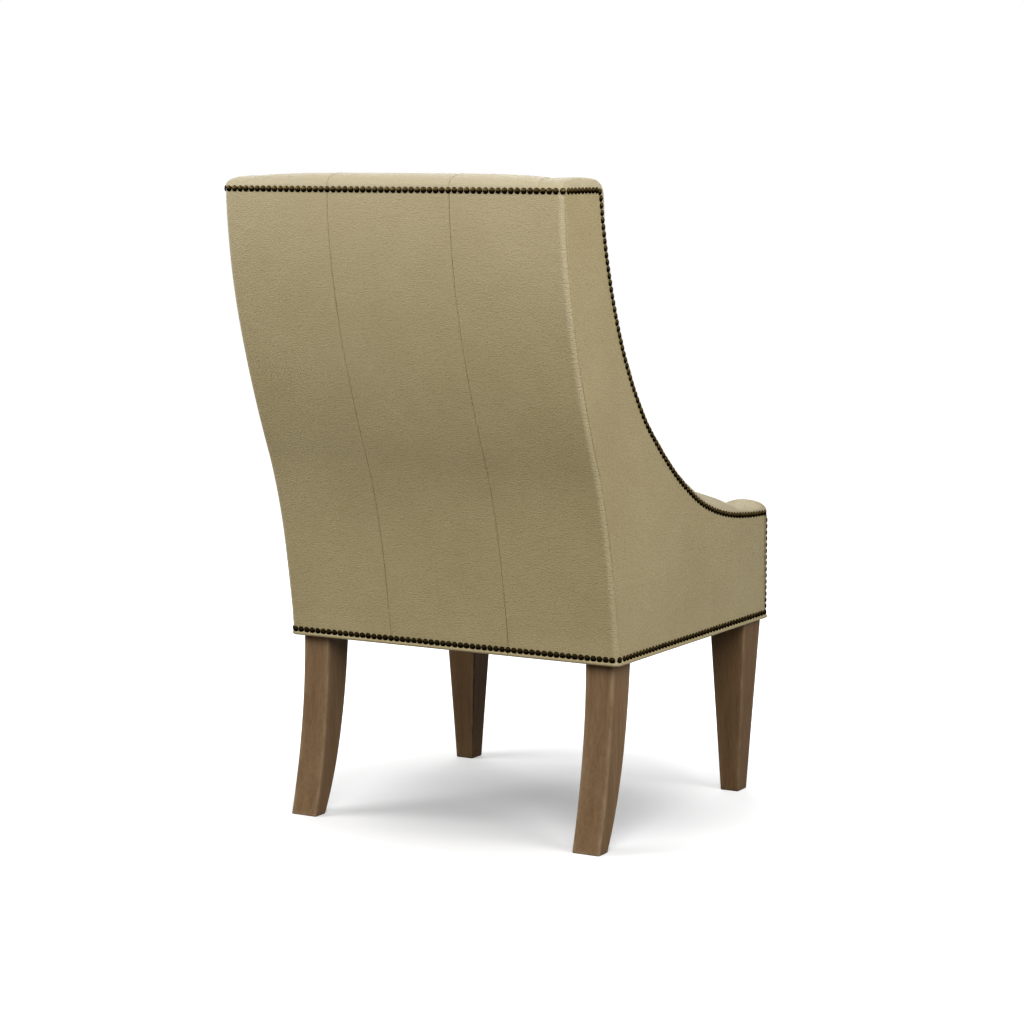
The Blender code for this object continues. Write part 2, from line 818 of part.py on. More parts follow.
def seat_deck():
    """The cloth over the springs."""
    outer = []
    inner = []
    for y in deck_stations():
        z = deck_height(y)
        outer.append([(x, y, z + DECK) for x in (-SEAT_HALF, SEAT_HALF)])
        inner.append([(x, y, z) for x in (-SEAT_HALF, SEAT_HALF)])
    skin("seat_deck", "webbing", outer, inner)


def seat_foam():
    inset = LEATHER + GAP
    rings = []
    for row, y in enumerate(deck_stations()[:-1]):
        ring = [seat_point(x, row, inset) for x in seat_columns()]
        under = deck_height(y) + DECK + 2 * GAP
        if row == 0:
            y = ring[0][1]
        ring += [(SEAT_HALF, y, under), (-SEAT_HALF, y, under)]
        rings.append(ring)
    loft("seat_foam", "foam", rings)


def seat_spring(name, x_middle):
    """A zigzag spring, one wire from the front rail to the rear rail."""
    low, high = spring_ends()
    steps = SPRING_WAVES * SPRING_WAVE_POINTS
    wire = bpy.data.curves.new(name, "CURVE")
    wire.dimensions = "3D"
    wire.bevel_depth = SPRING_WIRE / 2
    wire.bevel_resolution = 0
    wire.use_fill_caps = True
    line = wire.splines.new("POLY")
    line.points.add(steps)
    for i, point in enumerate(line.points):
        y = low + (high - low) * i / steps
        turn = 2 * math.pi * i / SPRING_WAVE_POINTS
        swing = math.copysign(SPRING_HALF_WIDTH, x_middle) * math.cos(turn)
        rise = spring_lift(y) - RAIL_TOP + SPRING_WIRE / 2
        point.co = (swing, y - low, rise, 1.0)
    place(name, wire, "steel", (x_middle, low, RAIL_TOP))


def front_band():
    top = SEAT_SEAM_HEIGHT - SEAM_GAP
    box("front_band", "leather", (-SEAT_HALF, Y_FRONT, BODY_BOTTOM), (SEAT_HALF, Y_FRONT + LEATHER, top))


# Frame


def frame():
    box(
        "front_rail",
        "frame wood",
        (-FRAME_OUT, EDGE_FRONT, WOOD_BOTTOM),
        (FRAME_OUT, EDGE_FRONT + FRAME_STOCK, RAIL_TOP),
    )
    rail_back = BACK_FRAME + FRAME_STOCK
    back_bar("rear_rail", "frame wood", -FRAME_OUT, FRAME_OUT, BACK_FRAME, rail_back, WOOD_BOTTOM, RAIL_TOP)
    inner = FRAME_IN - GAP
    crest_low = TOP_NAIL_HEIGHT - CREST_RAIL_HEIGHT
    back_bar("crest_rail", "frame wood", -inner, inner, BACK_FRAME, POST_FRONT, crest_low, TOP_NAIL_HEIGHT)
    low = LOWER_RAIL_LEVEL
    high = low + LOWER_RAIL_HEIGHT
    back_bar("lower_back_rail", "frame wood", -inner, inner, BACK_FRAME, POST_FRONT, low, high)
    span = TOP_NAIL_HEIGHT - SCOOP_GUSSET - high
    for i in range(WEBBING_COUNT):
        z = high + span * (i + 0.5) / WEBBING_COUNT - WEBBING_WIDTH / 2
        back_bar(
            f"back_webbing_{i + 1}",
            "webbing",
            -FRAME_OUT,
            FRAME_OUT,
            POST_FRONT + GAP,
            POST_FRONT + GAP + WEBBING,
            z,
            z + WEBBING_WIDTH,
        )
    board_half = HALF - BACK_CORNER - GAP
    board_near = LEATHER + GAP
    back_bar(
        "back_board",
        "board",
        -board_half,
        board_half,
        board_near,
        board_near + BOARD,
        WOOD_BOTTOM,
        TOP_NAIL_HEIGHT,
    )


def side_rail(name, side):
    front = EDGE_FRONT + FRAME_STOCK + GAP
    rings = []
    for z in levels(WOOD_BOTTOM, RAIL_TOP):
        rear = back_y(z) - BACK_FRAME - FRAME_STOCK - GAP
        plan = [(FRAME_IN, front), (FRAME_OUT, front), (FRAME_OUT, rear), (FRAME_IN, rear)]
        rings.append([(side * x, y, z) for x, y in plan])
    loft(name, "frame wood", rings)


def circle(x, y, z, radius, sides):
    turns = [2 * math.pi * i / sides for i in range(sides)]
    return [(x + radius * math.cos(turn), y + radius * math.sin(turn), z) for turn in turns]


def cylinder_cutter(name, x, y, low, high, radius):
    cutter = loft(name, "steel", [circle(x, y, z, radius, HOLE_SIDES) for z in (low, high)])
    cutter.hide_render = True
    cutter.display_type = "WIRE"
    return cutter


def cut(body, cutter):
    hole = body.modifiers.new("bolt_hole", "BOOLEAN")
    hole.operation = "DIFFERENCE"
    hole.solver = "EXACT"
    hole.object = cutter


def soften(body):
    edge = body.modifiers.new("softened_edges", "BEVEL")
    edge.width = LEG_SOFTENING
    edge.segments = 1
    edge.limit_method = "ANGLE"
    edge.angle_limit = math.radians(40)


def bolt_place(side, front):
    x = side * (HALF - BOLT_FROM_SIDE)
    if front:
        return x, Y_FRONT + BOLT_FROM_FRONT
    return x, back_y(BODY_BOTTOM) - BOLT_FROM_BACK


def corner_block(name, side, front):
    """A triangular block in the corner of the rails, over the top of the leg."""
    rings = []
    for z in (WOOD_BOTTOM, WOOD_BOTTOM + CORNER_BLOCK_HEIGHT):
        x = FRAME_IN - GAP
        if front:
            y = EDGE_FRONT + FRAME_STOCK + GAP
            way = 1
        else:
            y = back_y(z) - BACK_FRAME - FRAME_STOCK - GAP
            way = -1
        reach = CORNER_BLOCK_LEG
        plan = [(x, y), (x, y + way * reach), (x - reach, y)]
        rings.append([(side * px, py, z) for px, py in plan])
    block = loft(name, "frame wood", rings)
    x, y = bolt_place(side, front)
    low = WOOD_BOTTOM - CORNER_BLOCK_HEIGHT
    high = WOOD_BOTTOM + 2 * CORNER_BLOCK_HEIGHT
    cut(block, cylinder_cutter(name + "_hole", x, y, low, high, BOLT_HOLE))


def leg_bolt(name, side, front):
    """A bolt from the leg up through its corner block, with a washer and a nut on top."""
    x, y = bolt_place(side, front)
    seat = WOOD_BOTTOM + CORNER_BLOCK_HEIGHT + GAP
    washer_top = seat + BOLT_WASHER_THICK
    nut_top = washer_top + BOLT_NUT_THICK
    profile = [
        (BOLT_RADIUS, LEG_TOP - BOLT_DEPTH),
        (BOLT_RADIUS, seat),
        (BOLT_WASHER, seat),
        (BOLT_WASHER, washer_top),
        (BOLT_NUT, washer_top),
        (BOLT_NUT, nut_top),
        (BOLT_RADIUS, nut_top),
        (BOLT_RADIUS, nut_top + BOLT_END),
    ]
    loft(name, "steel", [circle(x, y, z, radius, BOLT_SIDES) for radius, z in profile])


def leg_hole(leg, side, front):
    x, y = bolt_place(side, front)
    low = LEG_TOP - BOLT_DEPTH - GAP
    cut(leg, cylinder_cutter(leg.name + "_hole", x, y, low, LEG_TOP + BOLT_DEPTH, BOLT_HOLE))


# Legs


def front_leg(name, side):
    x = side * (HALF - FRONT_LEG_INSET)
    y = Y_FRONT + FRONT_LEG_SETBACK
    rings = []
    for z, size in ((0.0, FRONT_LEG_FOOT), (LEG_TOP, FRONT_LEG_TOP)):
        h = size / 2
        rings.append([(x - h, y - h, z), (x + h, y - h, z), (x + h, y + h, z), (x - h, y + h, z)])
    leg = loft(name, "leg wood", rings)
    soften(leg)
    leg_hole(leg, side, True)


def knee_curve(foot, knee, top):
    """Three points of one face of the leg, as a function of height."""
    run = corner_run(Vector(foot), Vector(knee), Vector(top), 4 * REAR_LEG_STEPS)
    return lambda z: height_to_y(run, z)


def rear_leg(name, side):
    x = side * (HALF - REAR_LEG_INSET)
    h = REAR_LEG_WIDTH / 2
    rear_top = back_y(BODY_BOTTOM) - REAR_LEG_SETBACK
    front_top = rear_top - REAR_LEG_TOP
    rear_foot = rear_top + REAR_LEG_KICK
    front_foot = rear_foot - REAR_LEG_FOOT
    rear = knee_curve((rear_foot, 0.0), (rear_top, REAR_KNEE_HEIGHT), (rear_top, LEG_TOP))
    knee = (front_top + FRONT_KNEE_REACH, FRONT_KNEE_HEIGHT)
    front = knee_curve((front_foot, 0.0), knee, (front_top, LEG_TOP))
    rings = []
    for i in range(REAR_LEG_STEPS + 1):
        z = LEG_TOP * i / REAR_LEG_STEPS
        rings.append([(x - h, front(z), z), (x + h, front(z), z), (x + h, rear(z), z), (x - h, rear(z), z)])
    leg = loft(name, "leg wood", rings)
    soften(leg)
    leg_hole(leg, side, False)


def dust_cover():
    """The black cloth under the seat, notched round the legs."""
    margin = 0.002
    front = EDGE_FRONT + margin
    rear = back_y(BODY_BOTTOM) - BACK_FRAME - margin
    edge = FRAME_OUT - margin
    front_x = HALF - FRONT_LEG_INSET - FRONT_LEG_TOP / 2 - margin
    front_y = Y_FRONT + FRONT_LEG_SETBACK + FRONT_LEG_TOP / 2 + margin
    rear_x = HALF - REAR_LEG_INSET - REAR_LEG_WIDTH / 2 - margin
    rear_y = back_y(BODY_BOTTOM) - REAR_LEG_SETBACK - REAR_LEG_TOP - margin
    half = [(front_x, front), (front_x, front_y), (edge, front_y)]
    half += [(edge, rear_y), (rear_x, rear_y), (rear_x, rear)]
    plan = half + [(-x, y) for x, y in reversed(half)]
    top = LEG_TOP
    rings = [[(x, y, z) for x, y in plan] for z in (top - DUST_CLOTH, top)]
    loft("dust_cover", "cloth", rings)


# Nail heads, joined into strips by thin necks


def nail_strip(name, places, count):
    """A row of nail heads. places(share) gives the surface point, its way out and the way across."""
    rings = []
    for i in range(2 * count + 1):
        point, out, across = places(i / (2 * count))
        head = i % 2 == 1
        half = (NAIL_HEAD if head else NAIL_NECK) / 2
        rise = NAIL_RISE if head else NAIL_NECK_RISE
        base = point + out * GAP
        rings.append([base - across * half, base + out * rise, base + across * half])
    loft(name, "bronze", rings)


def nail_count(length):
    return max(round(length / NAIL_PITCH), 1)


def strip_round_back(name, z):
    """Nails across the back at one height, with one on each rear corner."""
    slope = 0.0
    if z < TOP_NAIL_HEIGHT:
        slope = (back_y(LEVELS[1]) - back_y(LEVELS[0])) / (LEVELS[1] - LEVELS[0])
    across = Vector((0.0, slope, 1.0)).normalized()
    straight = HALF - BACK_CORNER
    corner = math.pi / 4 * BACK_CORNER
    sag = BACK_CORNER * (1 - math.cos(NAIL_PITCH / 4 / BACK_CORNER))
    pitch_count = nail_count(2 * (straight + corner))
    reach = (straight + corner) * (1 + 1 / pitch_count)

    def places(share):
        run = reach * (2 * share - 1)
        turned = max(abs(run) - straight, 0.0) / BACK_CORNER
        side = math.copysign(1.0, run)
        flat = Vector((side * math.sin(turned), math.cos(turned), 0.0))
        centre = Vector((side * min(abs(run), straight), back_y(z) - BACK_CORNER, z))
        out = (flat - across * flat.dot(across)).normalized()
        lift = sag * min(turned * 4, 1.0)
        return centre + flat * (BACK_CORNER + lift), out, across

    nail_strip(name, places, pitch_count + 1)


def strip_scoop(name, side):
    """Nails along the top of the wing, down the scoop and out to the front of the arm."""
    edge = [station.place for station in edge_stations()]
    start = Vector((Y_BACK - SIDE_SEAM, TOP_NAIL_HEIGHT))
    run = [start] + [place for place in edge[3:] if place.y > ARM_HEIGHT - 2 * ARM_CORNER]
    run = [place for place in run if place.x > EDGE_FRONT + GAP]
    length = run_length(run)
    out = Vector((side, 0.0, 0.0))

    def places(share):
        place, heading = along(run, length * share)
        across = Vector((0.0, heading.y, -heading.x))
        return Vector((side * HALF, place.x, place.y)), out, across

    nail_strip(name, places, nail_count(length))


def strip_between(name, start, end, out):
    """Nails along a straight line."""
    across = out.cross((end - start).normalized())

    def places(share):
        return start.lerp(end, share), out, across

    nail_strip(name, places, nail_count((end - start).length))


def nail_strips():
    strip_round_back("nails_back_top", TOP_NAIL_HEIGHT)
    low = BODY_BOTTOM + BOTTOM_NAIL_LIFT
    strip_round_back("nails_back_bottom", low)
    forward = Vector((0.0, -1.0, 0.0))
    edge = HALF - FRONT_NAIL_INSET + NAIL_HEAD / 2
    strip_between("nails_front_bottom", Vector((-edge, Y_FRONT, low)), Vector((edge, Y_FRONT, low)), forward)
    for word, side in (("left", 1), ("right", -1)):
        strip_scoop("nails_scoop_" + word, side)
        x = side * HALF
        rear = Vector((x, back_y(low) - SIDE_SEAM, low))
        front = Vector((x, EDGE_FRONT + GAP, low))
        strip_between("nails_bottom_" + word, rear, front, Vector((side, 0.0, 0.0)))
        x = side * (HALF - FRONT_NAIL_INSET)
        top = Vector((x, Y_FRONT, ARM_HEIGHT - 2 * ARM_CORNER))
        foot = Vector((x, Y_FRONT, low + NAIL_HEAD / 2 + GAP))
        strip_between("nails_front_" + word, top, foot, forward)


def build():
    clear_scene()
    for word, side in (("left", 1), ("right", -1)):
        front_leg("front_leg_" + word, side)
        rear_leg("rear_leg_" + word, side)
        for end, front in (("front", True), ("rear", False)):
            corner_block(f"corner_block_{end}_{word}", side, front)
            leg_bolt(f"leg_bolt_{end}_{word}", side, front)
        side_rail("side_rail_" + word, side)
        scoop_rail("scoop_rail_" + word, side)
        post = (side * FRAME_IN, side * FRAME_OUT, BACK_FRAME, POST_FRONT)
        back_bar("back_post_" + word, "frame wood", *post, RAIL_TOP + GAP, TOP_NAIL_HEIGHT)
        board = (BOARD_OUT - BOARD, BOARD_OUT, BACK_CORNER + GAP, 0.0, WOOD_BOTTOM)
        side_sheet("side_board_" + word, "board", side, *board)
        cover = (HALF - LEATHER, HALF, SIDE_SEAM + SEAM_GAP, -SEAM_GAP / 2, BODY_BOTTOM)
        side_sheet("outside_side_" + word, "leather", side, *cover)
        arm_foam("arm_foam_" + word, side)
        arm_cover("inside_arm_" + word, side)
    frame()
    for i in range(SPRING_COUNT):
        x = (SEAT_HALF - SPRING_MARGIN) * (2 * i / (SPRING_COUNT - 1) - 1)
        seat_spring(f"seat_spring_{i + 1}", x)
    seat_deck()
    seat_foam()
    seat_cover()
    front_band()
    back_foam()
    inside_back()
    outside_back()
    dust_cover()
    nail_strips()


build()
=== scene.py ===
# %% [markdown]
# # A winged dining chair in leather
#
# This lesson dresses the bare model of a chair. The model already has every
# piece in its place: a wooden frame, springs, foam, boards, leather and nails.
# Here the parts that show get their real surface, so leather swells and is
# sewn, nails are domed and the legs have grain. The first lines load the model.

# %% Load the chair's model
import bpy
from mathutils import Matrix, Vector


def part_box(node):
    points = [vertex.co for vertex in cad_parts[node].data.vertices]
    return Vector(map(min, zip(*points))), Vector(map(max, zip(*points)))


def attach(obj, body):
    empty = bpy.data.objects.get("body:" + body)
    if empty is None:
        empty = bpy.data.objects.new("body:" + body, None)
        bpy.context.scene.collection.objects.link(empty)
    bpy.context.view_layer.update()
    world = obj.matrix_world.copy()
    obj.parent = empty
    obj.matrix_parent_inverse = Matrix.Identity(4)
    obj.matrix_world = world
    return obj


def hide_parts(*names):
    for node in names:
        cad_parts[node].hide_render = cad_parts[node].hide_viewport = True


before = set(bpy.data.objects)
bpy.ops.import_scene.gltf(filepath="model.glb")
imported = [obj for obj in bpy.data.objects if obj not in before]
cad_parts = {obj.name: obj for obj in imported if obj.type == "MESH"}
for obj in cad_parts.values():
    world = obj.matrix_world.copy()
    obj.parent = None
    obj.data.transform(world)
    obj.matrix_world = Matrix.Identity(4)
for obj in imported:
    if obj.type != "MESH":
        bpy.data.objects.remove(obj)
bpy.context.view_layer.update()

# %% Bring in the tools
import math

import bpy
import numpy as np
from mathutils import Vector, noise

scene = bpy.context.scene
scene.view_settings.view_transform = "Standard"

# %% [markdown]
# ## Camera
#
# The chair is seen from behind and to its right, from a little above the seat.
# A long lens keeps the uprights almost parallel, as a shop photograph does, so
# the camera stands about five metres away with a 100 mm lens. Aiming it by
# angles, and not at a target, keeps the verticals where they were measured.

# %% Stand the camera behind the chair
CAMERA_PLACE = (-2.3429, 4.0408, 1.1005)
LOOK_DOWN = 7.313
TURN = 210.0

lens = bpy.data.cameras.new("photo_camera")
lens.lens = 100
lens.sensor_width = 36
camera = bpy.data.objects.new("photo_camera", lens)
camera.location = CAMERA_PLACE
camera.rotation_euler = (math.radians(90 - LOOK_DOWN), 0, math.radians(TURN))
scene.collection.objects.link(camera)
scene.camera = camera
print("camera at", CAMERA_PLACE)

# %% [markdown]
# ## Light and floor
#
# A dim white room and five wide lamps give a soft light that falls mostly from
# above and behind, so the back is palest at its top and darker where it leans
# over. The camera and the shiny surfaces see a pure white background through
# Light Path, so no extra light has to fall on the leather. The floor keeps the
# shadow near the chair and fades to white further out, like a paper sweep.

# %% Light the white room
ROOM_LIGHT = 0.095
ROOM_SEEN = 1.0
LAMP_SIZE = 1.7
LAMPS = {
    "overhead": ((0.0, 0.0, 2.6), 3),
    "behind_high": ((-1.4, 2.4, 2.2), 73),
    "front_high": ((1.0, -1.6, 2.4), 26),
    "left_high": ((2.2, 1.4, 1.8), 55),
    "right_high": ((-2.6, 0.3, 1.8), 42),
}


def feed(tree, value, socket):
    """Links an output to a socket, or sets a plain value on it."""
    if hasattr(value, "is_linked"):
        tree.links.new(value, socket)
    else:
        socket.default_value = value


def level_by_ray(tree, target, dim, seen):
    """Sets a value to dim for light that bounces, and to seen for what is looked at or mirrored."""
    path = tree.nodes.new("ShaderNodeLightPath")
    looked_at = path.outputs["Is Camera Ray"]
    for kind in ("Is Glossy Ray", "Is Transmission Ray"):
        either = tree.nodes.new("ShaderNodeMath")
        either.operation = "MAXIMUM"
        tree.links.new(looked_at, either.inputs[0])
        tree.links.new(path.outputs[kind], either.inputs[1])
        looked_at = either.outputs[0]
    level = tree.nodes.new("ShaderNodeMapRange")
    level.inputs["To Min"].default_value = dim
    feed(tree, seen, level.inputs["To Max"])
    tree.links.new(looked_at, level.inputs["Value"])
    tree.links.new(level.outputs[0], target)


room = bpy.data.worlds.new("white_room")
scene.world = room
room.use_nodes = True
backdrop = room.node_tree.nodes["Background"]
backdrop.inputs["Color"].default_value = (1, 1, 1, 1)
level_by_ray(room.node_tree, backdrop.inputs["Strength"], ROOM_LIGHT, ROOM_SEEN)

AIM = Vector((0, 0, 0.6))
for name, (place, power) in LAMPS.items():
    light = bpy.data.lights.new(name, "AREA")
    light.size = LAMP_SIZE
    light.energy = power
    lamp = bpy.data.objects.new(name, light)
    lamp.location = place
    lamp.rotation_euler = (AIM - Vector(place)).to_track_quat("-Z", "Y").to_euler()
    scene.collection.objects.link(lamp)
print("room", ROOM_LIGHT, "lamps", sum(power for _, power in LAMPS.values()), "W")

# %% Lay the floor
FLOOR_HALF = 9.0
FLOOR_SEEN = 0.715
FLOOR_BOUNCE = 0.16
FADE_FROM = 0.0
FADE_TO = 0.90
FADE_LIGHT = 1.0

floor_mesh = bpy.data.meshes.new("floor")
corners = [(x * FLOOR_HALF, y * FLOOR_HALF, 0) for x, y in ((-1, -1), (1, -1), (1, 1), (-1, 1))]
floor_mesh.from_pydata(corners, [], [(0, 1, 2, 3)])
floor = bpy.data.objects.new("floor", floor_mesh)
scene.collection.objects.link(floor)

pale = bpy.data.materials.new("pale_floor")
pale.use_nodes = True
tree = pale.node_tree
matt = tree.nodes["Principled BSDF"]
matt.inputs["Roughness"].default_value = 1.0
matt.inputs["Specular IOR Level"].default_value = 0.0
matt.inputs["Emission Color"].default_value = (1, 1, 1, 1)
where = tree.nodes.new("ShaderNodeTexCoord")
far = tree.nodes.new("ShaderNodeVectorMath")
far.operation = "LENGTH"
tree.links.new(where.outputs["Object"], far.inputs[0])
fade = tree.nodes.new("ShaderNodeMapRange")
fade.interpolation_type = "SMOOTHSTEP"
fade.inputs["From Min"].default_value = FADE_FROM
fade.inputs["From Max"].default_value = FADE_TO
fade.inputs["To Max"].default_value = FADE_LIGHT
tree.links.new(far.outputs["Value"], fade.inputs["Value"])
level_by_ray(tree, matt.inputs["Base Color"], FLOOR_BOUNCE, FLOOR_SEEN)
level_by_ray(tree, matt.inputs["Emission Strength"], 0.0, fade.outputs[0])
floor_mesh.materials.append(pale)

# %% [markdown]
# ## Finishes
#
# Each finish is mixed from a few layers of pattern. A tiny helper adds a node
# and sets it in one line, so the recipe reads as a list of layers. Patterns use
# Object coordinates, which are metres here, so a grain has its real size and
# runs unbroken across a seam as it would on one hide.


# %% A helper for mixing a finish
class Finish:
    """A material with one surface shader, and short ways to add and join layers."""

    def __init__(self, name, roughness, metallic=0.0, shine=0.5):
        self.material = bpy.data.materials.new(name)
        self.material.use_nodes = True
        self.tree = self.material.node_tree
        self.surface = self.tree.nodes["Principled BSDF"]
        self.surface.inputs["Roughness"].default_value = roughness
        self.surface.inputs["Metallic"].default_value = metallic
        self.surface.inputs["Specular IOR Level"].default_value = shine
        self.place = self.tree.nodes.new("ShaderNodeTexCoord").outputs["Object"]

    def add(self, kind, inputs=None, **settings):
        node = self.tree.nodes.new("ShaderNode" + kind)
        for key, value in settings.items():
            setattr(node, key, value)
        for key, value in (inputs or {}).items():
            feed(self.tree, value, node.inputs[key])
        return node

    def join(self, output, name):
        self.tree.links.new(output, self.surface.inputs[name])

    def painted(self, name):
        """A value that is painted on the points of a piece."""
        return self.add("Attribute", attribute_name=name).outputs["Fac"]

    def stretched(self, scale):
        """Object coordinates with each axis scaled."""
        return self.add("Mapping", {"Vector": self.place, "Scale": scale}).outputs[0]

    def noise(self, vector, scale, detail=3.0, roughness=0.5):
        wanted = {"Vector": vector, "Scale": scale, "Detail": detail, "Roughness": roughness}
        return self.add("TexNoise", wanted).outputs["Fac"]

    def cells(self, vector, scale, feature="F1", smoothness=0.5):
        wanted = {"Vector": vector, "Scale": scale}
        if feature == "SMOOTH_F1":
            wanted["Smoothness"] = smoothness
        return self.add("TexVoronoi", wanted, feature=feature).outputs["Distance"]

    def levels(self, value, low, high, to_low=0.0, to_high=1.0):
        wanted = {"Value": value, "From Min": low, "From Max": high, "To Min": to_low, "To Max": to_high}
        return self.add("MapRange", wanted).outputs[0]

    def maths(self, operation, first, second):
        return self.add("Math", {0: first, 1: second}, operation=operation).outputs[0]

    def blend(self, share, first, second, kind="MIX"):
        node = self.add("Mix", data_type="RGBA", blend_type=kind)
        feed(self.tree, share, node.inputs[0])
        for index, colour in ((6, first), (7, second)):
            linked = hasattr(colour, "is_linked")
            feed(self.tree, colour if linked else (*colour, 1.0), node.inputs[index])
        return node.outputs[2]

    def bump(self, height, strength, distance, over=None):
        wanted = {"Height": height, "Strength": strength, "Distance": distance}
        if over is not None:
            wanted["Normal"] = over
        return self.add("Bump", wanted).outputs[0]


# %% [markdown]
# ### Leather
#
# The hide is khaki with a fine pebbled grain: small soft bumps, a little wider
# than tall, with darker valleys. Voronoi cells make pebbles, and a slow noise
# bends them so that no rows show. Over them lie short level wrinkles, as on a
# tumbled hide, and cloudy patches of tone that keep a big panel from looking
# printed. Where leather turns a tight corner, a painted value brings out fine
# ridges there and paints a pale highlight down the rounded corner. A second
# one, called stretched, is a painted highlight: it makes the hide paler where
# light from above falls on the top of the back, the crest, the wing and the arms.

# %% Mix the khaki leather
PEBBLE_SIZE = 0.0025
HIDE = (0.384, 0.314, 0.170)
HIDE_VALLEY = (0.256, 0.200, 0.099)
HIDE_CLOUD = (0.341, 0.275, 0.141)
# Pale colour of the painted highlight on the crest, the arms, the upper back and the rear corners.
HIDE_HIGHLIGHT = (0.53, 0.475, 0.35)


def khaki_leather(name="khaki_leather"):
    made = Finish(name, 0.4, shine=0.15)
    wide = made.stretched((1.0, 1.0, 1.3))
    drift = made.add("TexNoise", {"Vector": made.place, "Scale": 90.0, "Detail": 1.0}).outputs["Color"]
    centred = made.add("VectorMath", {0: drift, 1: (0.5, 0.5, 0.5)}, operation="SUBTRACT").outputs[0]
    small = made.add("VectorMath", {0: centred, "Scale": 0.004}, operation="SCALE").outputs[0]
    bent = made.add("VectorMath", {0: wide, 1: small}, operation="ADD").outputs[0]
    pebbles = made.cells(bent, 1 / PEBBLE_SIZE, "SMOOTH_F1", 0.35)
    domes = made.levels(pebbles, 0.15, 0.75, 1.0, 0.0)
    creases = made.cells(bent, 1 / (6 * PEBBLE_SIZE), "DISTANCE_TO_EDGE")
    folds = made.levels(creases, 0.0, 0.06, 0.0, 1.0)
    pores = made.noise(made.place, 1900.0, 2.0)
    wrinkles = made.levels(made.noise(made.stretched((190.0, 190.0, 380.0)), 1.0, 2.0, 0.6), 0.35, 0.65)
    crease_and_highlight = made.painted("crease_and_highlight")
    stretched = made.painted("stretched")
    ridges = made.levels(made.noise(made.stretched((150.0, 150.0, 620.0)), 1.0, 1.0), 0.35, 0.65)
    clouds = made.noise(made.place, 7.0, 4.0, 0.55)
    patches = made.noise(made.place, 38.0, 3.0)

    tone = made.blend(made.levels(clouds, 0.35, 0.7), HIDE, HIDE_CLOUD)
    tone = made.blend(made.levels(patches, 0.3, 0.75, 0.0, 0.16), tone, HIDE_CLOUD)
    valley = made.levels(domes, 0.0, 0.55, 0.42, 0.0)
    tone = made.blend(valley, tone, HIDE_VALLEY)
    tone = made.blend(made.levels(wrinkles, 0.0, 1.0, 0.1, 0.0), tone, HIDE_VALLEY)
    # Painted highlight: paler on the rounded rear corners and where light from above falls on the crest,
    # the arms and the top of the back.
    painted_highlight = made.maths("ADD", made.maths("MULTIPLY", crease_and_highlight, 0.16), stretched)
    tone = made.blend(painted_highlight, tone, HIDE_HIGHLIGHT)
    made.join(tone, "Base Color")
    made.join(made.levels(domes, 0.0, 1.0, 0.6, 0.42), "Roughness")

    height = made.maths("ADD", domes, made.maths("MULTIPLY", pores, 0.25))
    height = made.maths("ADD", height, made.maths("MULTIPLY", folds, 0.22))
    grain = made.bump(height, 0.8, 0.0005)
    wavy = made.bump(wrinkles, 0.3, 0.0004, grain)
    ridged = made.bump(made.maths("MULTIPLY", ridges, crease_and_highlight), 0.7, 0.0007, wavy)
    soft = made.noise(made.place, 55.0, 2.0)
    made.join(made.bump(soft, 0.25, 0.0012, ridged), "Normal")
    return made.material


leather = khaki_leather()
print("leather pebbles", PEBBLE_SIZE * 1000, "mm")

# %% Mix the thread and the suede underside of the hide
THREAD = (0.17, 0.135, 0.07)


def waxed_thread():
    made = Finish("waxed_thread", 0.6, shine=0.2)
    twist = made.noise(made.stretched((900.0, 900.0, 900.0)), 1.0, 2.0)
    made.join(made.blend(made.levels(twist, 0.3, 0.7), THREAD, (0.10, 0.08, 0.04)), "Base Color")
    made.join(made.bump(twist, 0.4, 0.0001), "Normal")
    return made.material


thread = waxed_thread()

# %% [markdown]
# ### Wood
#
# The legs are solid timber with a weathered brown stain. Grain runs down the
# leg, so the pattern is stretched a long way in Z: broad streaks, then fine
# lines, then short open pores. Stain rubs off at the arrises, which the legs
# carry as a painted value called wear. The front legs get a darker copy of the
# stain as painted shade, for the shade of the seat above them. Hidden frame
# members use the same recipe in bare timber, with the grain along whichever way
# the piece runs.

# %% Mix the two timbers
STAIN_LIGHT = (0.228, 0.143, 0.076)
STAIN_DARK = (0.140, 0.081, 0.040)
STAIN_WORN = (0.29, 0.20, 0.118)
# Painted shade: the front legs' stain is darkened by these shares, for the shade under the seat.
FRONT_SHADE = (0.84, 0.80, 0.74)
BARE_LIGHT = (0.60, 0.43, 0.25)
BARE_DARK = (0.42, 0.27, 0.13)


